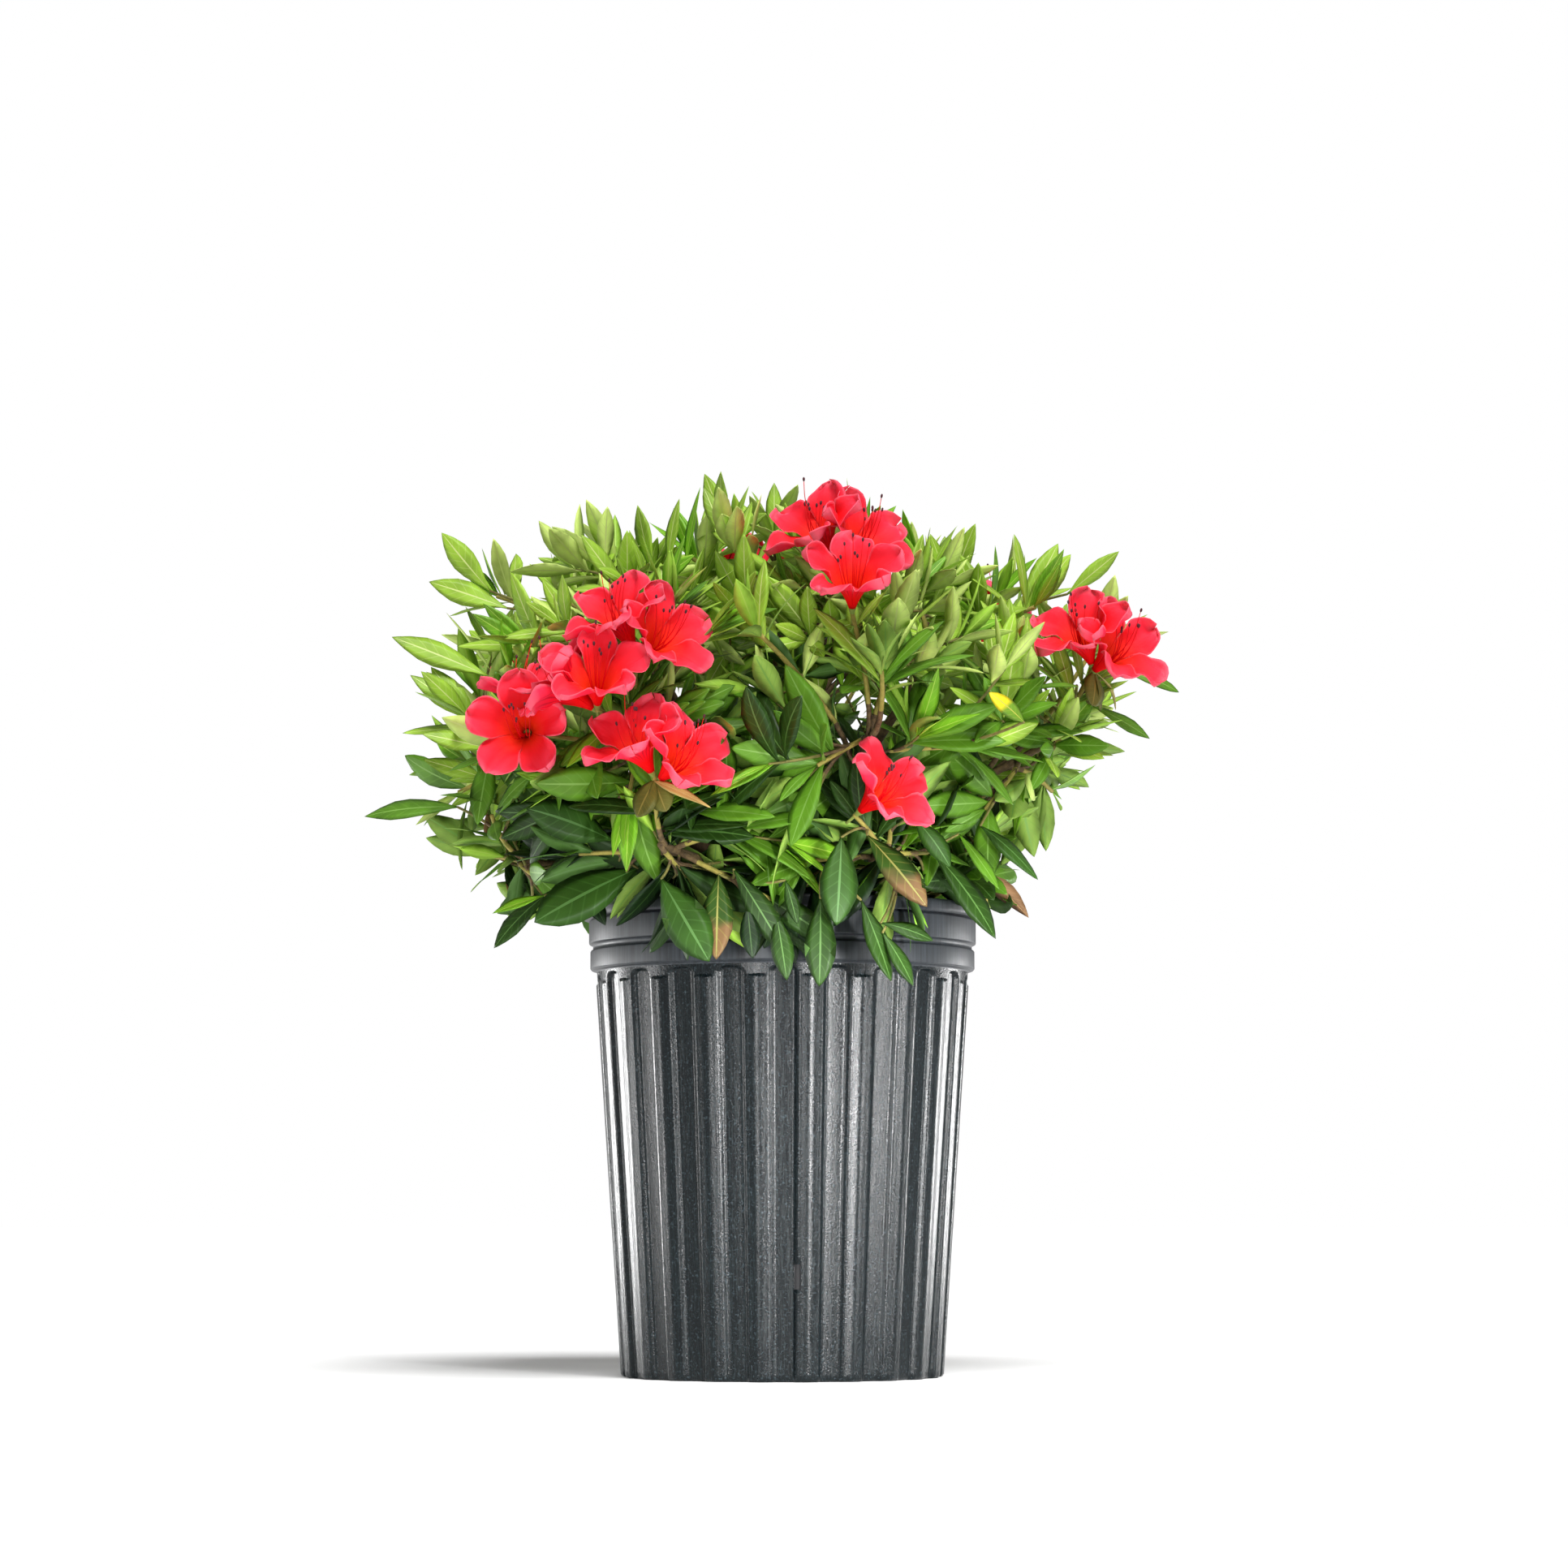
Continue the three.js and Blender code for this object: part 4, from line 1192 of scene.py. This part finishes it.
def place_leaves(group, blooms, bough_paths):
    """Leaves that turn by the golden angle from one to the next, each further open and longer.

    Each is tried in several turns, closed and shortened a little more each time, and the first
    that stays in the crown and clear of pot, boughs, blossom and placed leaves is kept. Leaves
    turn down low on the crown and up high on it, and are fewer low at its sides.
    """
    along = group["along"]
    number = group["number"]
    share = group["share"]
    side = unit(np.cross(along, SIDE_GUIDE))
    cross = np.cross(along, side)
    heart = unit(group["tip"] - CROWN_FOCUS)
    height, aside = heart[:, 2], np.abs(heart[:, 0])
    lift = np.interp(height, LIFT_HEIGHTS, LIFTS)
    lift = np.where(lift < 0, lift * (0.5 + share) * (1 - 0.85 * heart[:, 0] ** 2), lift)
    low = 1 - smooth(0.25, 0.6, height)
    high = smooth(0.45, 0.75, height)
    front = 1 - smooth(0.45, 0.8, aside)
    sparse = SIDE_THINNING * smooth(0.55, 0.8, aside) * (1 - smooth(0.15, 0.4, height))
    placed = chance(number, 9) < sparse
    kept = ~placed
    result = {
        "root": np.zeros_like(along),
        "direction": np.zeros_like(along),
        "face_up": np.zeros_like(along),
        "length": np.zeros(len(along)),
    }
    for attempt in range(ATTEMPTS):
        turn = group["order"] * GOLDEN_ANGLE + chance(group["twig"], 5) * 2 * math.pi
        turn = turn + attempt * TURN_ON
        spread = between(group["opening"], share) + 0.35 * (chance(number, 6) - 0.5)
        spread = spread * (1 - CLOSING * attempt)
        outward = side * np.cos(turn)[:, None] + cross * np.sin(turn)[:, None]
        direction = along * np.cos(spread)[:, None] + outward * np.sin(spread)[:, None]
        direction[:, 2] += lift
        direction = unit(direction)
        face_up = along - 0.4 * outward * (1 - 0.6 * low[:, None]) + 0.7 * low[:, None] * heart
        face_up[:, 2] += 0.5
        length = between(group["lengths"], chance(number, 8)) * (0.68 + 0.32 * np.sqrt(share))
        length = length * (1 - SHORTENING * attempt) * (1 + 0.2 * low * front - 0.12 * high)
        root = group["tip"] - along * group["back"][:, None]
        points = leaf_samples(root, direction, face_up, length)
        good = in_crown(points).all(1) & clear_of_limbs(points, bough_paths)
        good &= clear_of_blossom(points, *blooms) & clear_of_placed_leaves(points)
        fresh = good & ~placed
        tried = {"root": root, "direction": direction, "face_up": face_up, "length": length}
        for name, value in tried.items():
            result[name][fresh] = value[fresh]
        placed |= good
    result.update({name: group[name] for name in ("number", "twig", "share")})
    return {name: value[kept & placed] for name, value in result.items()}


def sort_kinds(leaves):
    """Each leaf's kind, by where it grows and by the chance of its spray and of the leaf itself.

    The height is the sine of the elevation over the focus, and the level is the height in crown
    radii, raised at the sides. Leaves are mature by height and towards the sides and dark
    elsewhere. Over a wavering level they are olive, and at the bottom in the middle deep. So the
    leaves are paler high on the crown and darker low in its middle: partly the leaves' own colours,
    and partly painted light from above and painted shade under the crown. The inner leaves of a
    third of the sprays are young, and a few low ones have dried.
    """
    heart = leaves["root"] - CROWN_FOCUS
    height = heart[:, 2] / np.linalg.norm(heart, axis=1)
    aside = np.abs(heart[:, 0]) / CROWN_RADIUS
    level = heart[:, 2] / CROWN_RADIUS + 0.3 * aside
    spray = chance(leaves["twig"], 31)
    leaf = chance(leaves["number"], 32)
    # Paler kinds high and at the sides, darker ones low in the middle: partly painted light from above and
    # painted shade under the crown.
    kind = np.where(spray < 0.35 + 0.6 * height + 0.8 * aside, "mature", "dark")
    kind = np.where(level + 0.3 * (leaf - 0.5) + 0.2 * (spray - 0.5) > 0.52, "olive", kind)
    # The deep green at the bottom in the middle is partly painted shade.
    kind = np.where((height < 0.12) & (leaf < 0.75 - 0.9 * aside), "deep", kind)
    fresh = (chance(leaves["twig"], 33) < 0.36 - 0.2 * (height < 0.1)) & (leaves["share"] < 0.5)
    kind = np.where(fresh, "young", kind)
    return np.where((height < 0.25) & (leaf > 0.988), "sear", kind)


def truss_leaves(paths):
    """Under some trusses two small round bronze leaves and a pale narrow dry one."""
    number = np.array(ROUND_LEAVED_TRUSSES)
    tip = paths[number, -1]
    outward = unit(tip - CROWN_FOCUS)
    side = unit(np.cross(outward, UP))
    sets = []
    for kind, (aside, down, out), length in TRUSS_LEAVES:
        way = unit(side * aside - UP * down + outward * out)
        size = length * between((0.85, 1.1), chance(number, 41 + length))
        face = outward + UP * 0.35
        sets.append((kind, tip - UP * 3, way, face, size, number + 7000 + 10 * length))
    return sets


def placed_leaves():
    """The leaves placed one by one, each from root to tip with its upper face turned outwards."""
    sets = []
    for index, (kind, root, tip) in enumerate(PLACED_LEAVES):
        root, tip = np.array([root], float), np.array([tip], float)
        span = tip - root
        outward = unit((root - CROWN_FOCUS) * [1, 1, 0])
        length = np.linalg.norm(span, axis=1) * 1.03
        face = outward + UP * 0.7 + FRONT * 0.6
        sets.append((kind, root, unit(span), face, length, np.array([8000 + index])))
    return sets


def leaf_finishes(kind):
    """The finishes of a kind's upper face, rib, lower face and lower rib."""
    upper, rib, under = (color_of(text) for text in LEAF_COLORS[kind])
    tip = color_of(DRY_TIPS[kind]) if kind in DRY_TIPS else None
    return (
        blade_finish(f"{kind}_leaf", upper, rib, 0.45, 0.3, tip),
        new_finish(f"{kind}_rib", 0.5, rib),
        blade_finish(f"{kind}_underside", under, rib, 0.6, 0.5),
        new_finish(f"{kind}_under_rib", 0.55, rib),
    )


def make_leaves(leaves, single_leaves, mass_nodes):
    """One piece for each kind, of whorled leaves and placed ones. The mature ones, which grow on
    every mass, stand for the masses of foliage."""
    kinds = sort_kinds(leaves)
    for kind in LEAF_SHAPES:
        mine = kinds == kind
        values = ("root", "direction", "face_up", "length", "number")
        parts = [[leaves[name][mine] for name in values]]
        parts += [one[1:] for one in single_leaves if one[0] == kind]
        whole = [np.concatenate(columns) for columns in zip(*parts)]
        finishes = leaf_finishes(kind)
        if not len(whole[0]):
            continue
        piece = add_piece(f"leaves_{kind}", leaf_skin(kind, *whole), finishes)
        if kind == "mature":
            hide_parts(*mass_nodes)


# ---- Blossom ----
def bloom_frames(facings):
    """A side and an upward direction, each square to where a bloom faces."""
    side = unit(np.cross(UP, facings))
    return side, np.cross(facings, side)


def petal_skin(roots, facings, upper):
    """Petals as sheets: each lobe is carried out along an arc that opens from tube to rim.

    The place along sums the sine and cosine of the opening angle into a reach and a height. A
    lobe fills a fifth of the turn where the petals are one tube, swells past it, and rounds off.
    Ruffles, a hollow middle and a slant that laps one edge over its neighbour lift the sheet.
    """
    side, upward = bloom_frames(facings)
    bloom = np.repeat(np.arange(len(roots)), LOBES)
    lobe = np.tile(np.arange(LOBES), len(roots))
    chosen = (lobe == 0) == upper
    bloom, lobe = bloom[chosen], lobe[chosen]
    number = bloom * LOBES + lobe
    along = 1 - (1 - np.linspace(0, 1, PETAL_ROWS)) ** 1.35
    across = np.linspace(-1, 1, PETAL_COLUMNS)
    tube, open_out, leaning = (degrees * DEGREE for degrees in PETAL_OPENING)
    lean = (chance(number, 51)[:, None] - 0.4) * leaning
    angle = tube + open_out * along**1.3 + lean * along**3
    step = np.diff(along, prepend=0) * PETAL_LENGTH
    reach = BLOOM_TUBE + np.cumsum(np.sin(angle) * step, 1)
    height = BLOOM_STALK + np.cumsum(np.cos(angle) * step, 1)
    lobed = np.clip((along - LOBE_FREE) / (1 - LOBE_FREE), 0, 1)
    round_off = np.sqrt(np.clip(1 - lobed**2.5, 0.0006, 1))
    half = math.pi / LOBES * (1 + LOBE_SWELL * smooth(0.45, 0.7, along)) * round_off
    turn = math.pi / 2 + lobe[:, None, None] * 2 * math.pi / LOBES + across * half[:, None]
    free = smooth(0.4, 0.75, along)[:, None]
    phase = chance(number, 52)[:, None, None] * 6
    frill = 3.0 * np.sin(16 * along[:, None] + phase + 2.4 * across) * np.abs(across) ** 1.5
    wave = 2.1 * np.sin(6.5 * across + 2 * phase) * smooth(0.55, 1, along)[:, None]
    crease = 1.6 * np.exp(-((across / 0.22) ** 2))
    lap = 1.4 * across + 2.6 * (across**2 - 0.35)
    lift = (frill + wave - crease + lap) * free
    out = reach[..., None] - lift * np.cos(angle)[..., None]
    high = height[..., None] + lift * np.sin(angle)[..., None]
    side, upward, ahead, root = (
        vectors[bloom][:, None, None] for vectors in (side, upward, facings, roots)
    )
    radial = side * np.cos(turn)[..., None] + upward * np.sin(turn)[..., None]
    grid = root + radial * out[..., None] + ahead * high[..., None]
    return sheet_of(grid, across[None, :] + 0 * along[:, None], along[:, None] + 0 * across[None, :])


def make_petals(roots, facings, inner, streaked, outer):
    """Petal sheets thickened backwards, with the outer face in its own finish."""
    lower = remarked(petal_skin(roots, facings, False), 0)
    upper = remarked(petal_skin(roots, facings, True), 1)
    piece = add_piece("petals", joined([lower, upper]), (inner, streaked, outer, outer))
    shell = piece.modifiers.new("thickness", "SOLIDIFY")
    shell.thickness = PETAL_THICKNESS * MM
    shell.offset = -1
    shell.material_offset = 2
    return piece


def make_stamens(roots, facings, thread, anther):
    """Seven threads and a longer style to a bloom, each with a dark anther or stigma.

    A thread dips towards the lower lobes by half a sine, and curls up by a power of its length.
    """
    side, upward = bloom_frames(facings)
    count = STAMENS + 1
    bloom = np.repeat(np.arange(len(roots)), count)
    order = np.tile(np.arange(count), len(roots))
    number = bloom * count + order
    style = order == STAMENS
    fan = (order / (STAMENS - 1) - 0.5) * 2 + (chance(number, 64) - 0.5) * 0.7
    spread = np.where(style, 0, fan)[:, None]
    t = np.linspace(0, 1, STAMEN_STEPS)[None, :]
    length = np.where(style, STYLE_LENGTH, between(STAMEN_LENGTHS, chance(number, 61)))[:, None]
    dip = -between((4, 8), chance(number, 62))[:, None] * np.sin(math.pi * t * 0.9)
    curl = between((4, 18), chance(number, 63))[:, None] * t**2.6
    path = (
        roots[bloom][:, None]
        + facings[bloom][:, None] * (BLOOM_STALK + 3 + length * t)[..., None]
        + upward[bloom][:, None] * (dip + curl)[..., None]
        + side[bloom][:, None] * (spread * (1 + 8 * t))[..., None]
    )
    threads = tubes(path, np.linspace(0.45, 0.26, STAMEN_STEPS), 5)
    way = unit(path[:, -1] - path[:, -2])[:, None]
    heads = path[:, -1:] + way * np.array(ANTHER[0])[:, None]
    tips = remarked(tubes(heads, np.array(ANTHER[1]), 6), 1)
    return add_piece("stamens", joined([threads, tips]), (thread, anther))


def make_calyxes(roots, facings, green):
    """A short stalk with a small cup behind each bloom, turned about the way it faces."""
    line = roots[:, None] + facings[:, None] * np.array(CALYX[0])[None, :, None]
    return add_piece("calyxes", tubes(line, np.array(CALYX[1]), 10), (green,))


# ---- Room ----
def add_strip(name, azimuth, width, power):
    """A low upright strip light round the pot, turned to the axis and unseen by the camera."""
    turn = azimuth * DEGREE
    light = bpy.data.lights.new(name, "AREA")
    light.shape = "RECTANGLE"
    light.size, light.size_y = width, STRIP_HEIGHT
    light.spread = STRIP_SPREAD * DEGREE
    light.energy = power
    lamp = bpy.data.objects.new(name, light)
    bpy.context.collection.objects.link(lamp)
    lamp.location = (
        STRIP_DISTANCE * math.sin(turn),
        -STRIP_DISTANCE * math.cos(turn),
        STRIP_HEIGHT / 2,
    )
    lamp.rotation_euler = (math.pi / 2, 0, turn)
    lamp.visible_camera = False


def make_room():
    """A pale round floor under a pale sky that looks brighter to the camera than it lights."""
    turn = np.arange(ROUND_CORNERS) * 2 * math.pi / ROUND_CORNERS
    rim = np.stack([np.cos(turn), np.sin(turn), 0 * turn], -1) * FLOOR_REACH * MM
    mesh = bpy.data.meshes.new("floor")
    mesh.from_pydata(rim.tolist(), [], [list(range(ROUND_CORNERS))])
    mesh.materials.append(new_finish("pale_floor", 0.9, (0.96, 0.96, 0.96)))
    floor = bpy.data.objects.new("floor", mesh)
    bpy.context.collection.objects.link(floor)
    world = bpy.data.worlds.new("sky")
    bpy.context.scene.world = world
    world.use_nodes = True
    tree = world.node_tree
    sky = tree.nodes["Background"]
    path = tree.nodes.new("ShaderNodeLightPath")
    strength = tree.nodes.new("ShaderNodeMapRange")
    strength.inputs["To Min"].default_value = SKY_LIGHT
    strength.inputs["To Max"].default_value = 1.0
    tree.links.new(path.outputs["Is Camera Ray"], strength.inputs["Value"])
    tree.links.new(strength.outputs["Result"], sky.inputs["Strength"])
    sky.inputs["Color"].default_value = (1, 1, 1, 1)


def add_sun():
    """A wide soft light from above, turned a little to the front and side."""
    sun = bpy.data.lights.new("overhead", "SUN")
    sun.energy = SUN_LIGHT
    sun.angle = SUN_BLUR * DEGREE
    overhead = bpy.data.objects.new("overhead", sun)
    bpy.context.collection.objects.link(overhead)
    overhead.rotation_euler = (SUN_TURN[0] * DEGREE, SUN_TURN[1] * DEGREE, 0)


def make_camera():
    """A level camera that looks up just enough to put the aim's height in the middle."""
    camera = bpy.data.cameras.new("camera")
    camera.lens = LENS
    camera.sensor_width = SENSOR
    camera.sensor_fit = "HORIZONTAL"
    camera.clip_end = 50
    holder = bpy.data.objects.new("camera", camera)
    bpy.context.collection.objects.link(holder)
    holder.location = np.array([CAMERA_ASIDE, -CAMERA_DISTANCE, CAMERA_HEIGHT]) * MM
    pitch = math.atan2(AIM_HEIGHT - CAMERA_HEIGHT, CAMERA_DISTANCE)
    holder.rotation_euler = (math.pi / 2 + pitch, 0, 0)
    bpy.context.scene.camera = holder
    bpy.context.scene.view_settings.view_transform = "Standard"


make_camera()
make_room()

# ---- Pot, bark mix, trunk and boughs ----
plastic = plastic_finish()
shade = new_finish("slot_shade", 0.9, (0.01, 0.01, 0.011))
make_pot(plastic, rim_finish(), shade)
make_soil(soil_finish())
old_bark = bark_finish("bark", "38281c", "765c42", (170, 170, 60))
make_trunk(old_bark)
masses = lay_out_masses()
bough_paths = make_boughs(masses, old_bark)

# ---- Twigs ----
stems, shoots, shoot_masses = grow_shoots(masses["axis"])
fine_shoots = grow_fine_shoots(shoots, shoot_masses, masses["axis"])
placed_twigs = grow_placed_twigs(shoots)
twig_finishes = (
    bark_finish("twig_bark", "3c2c1c", "75603c", (300, 300, 300)),
    bark_finish("young_bark", "7c7a30", "a6954a", (200, 200, 200)),
    bark_finish("fine_bark", "5a5c28", "857c40", (200, 200, 200)),
)
make_twigs(stems, shoots, np.concatenate([fine_shoots, placed_twigs]), twig_finishes)

# ---- Leaves ----
blooms = lay_out_blooms(shoots)
truss_count = len(TRUSSES)
leafy = (shoots[truss_count:], fine_shoots, shoots[:truss_count])
sets = [place_leaves(whorl(paths, *row), blooms, bough_paths) for paths, row in zip(leafy, WHORLS)]
leaves = {name: np.concatenate([one[name] for one in sets]) for name in sets[0]}
mass_nodes = [f"foliage_{name}" for name in masses["name"]]
make_leaves(leaves, truss_leaves(shoots) + placed_leaves(), mass_nodes)

# ---- Blossom ----
inner_petal = petal_finish("petal", "ea0008", "f01230", "f43456", 0.4)
streaked_petal = petal_finish("upper_petal", "e4000a", "ee102e", "f43254", 1.0)
outer_petal = petal_finish("petal_back", "f03814", "f21e28", "f43852", 0.0)
make_petals(*blooms, inner_petal, streaked_petal, outer_petal)
thread = new_finish("stamen_thread", 0.6, color_of("d40c18"), Specular_IOR_Level=0.15)
make_stamens(*blooms, thread, new_finish("anther", 0.7, color_of("4a1420")))
make_calyxes(*blooms, new_finish("calyx", 0.8, color_of("7c8a3c")))

# ---- Light ----
for strip in STRIPS:
    add_strip(*strip)
add_sun()
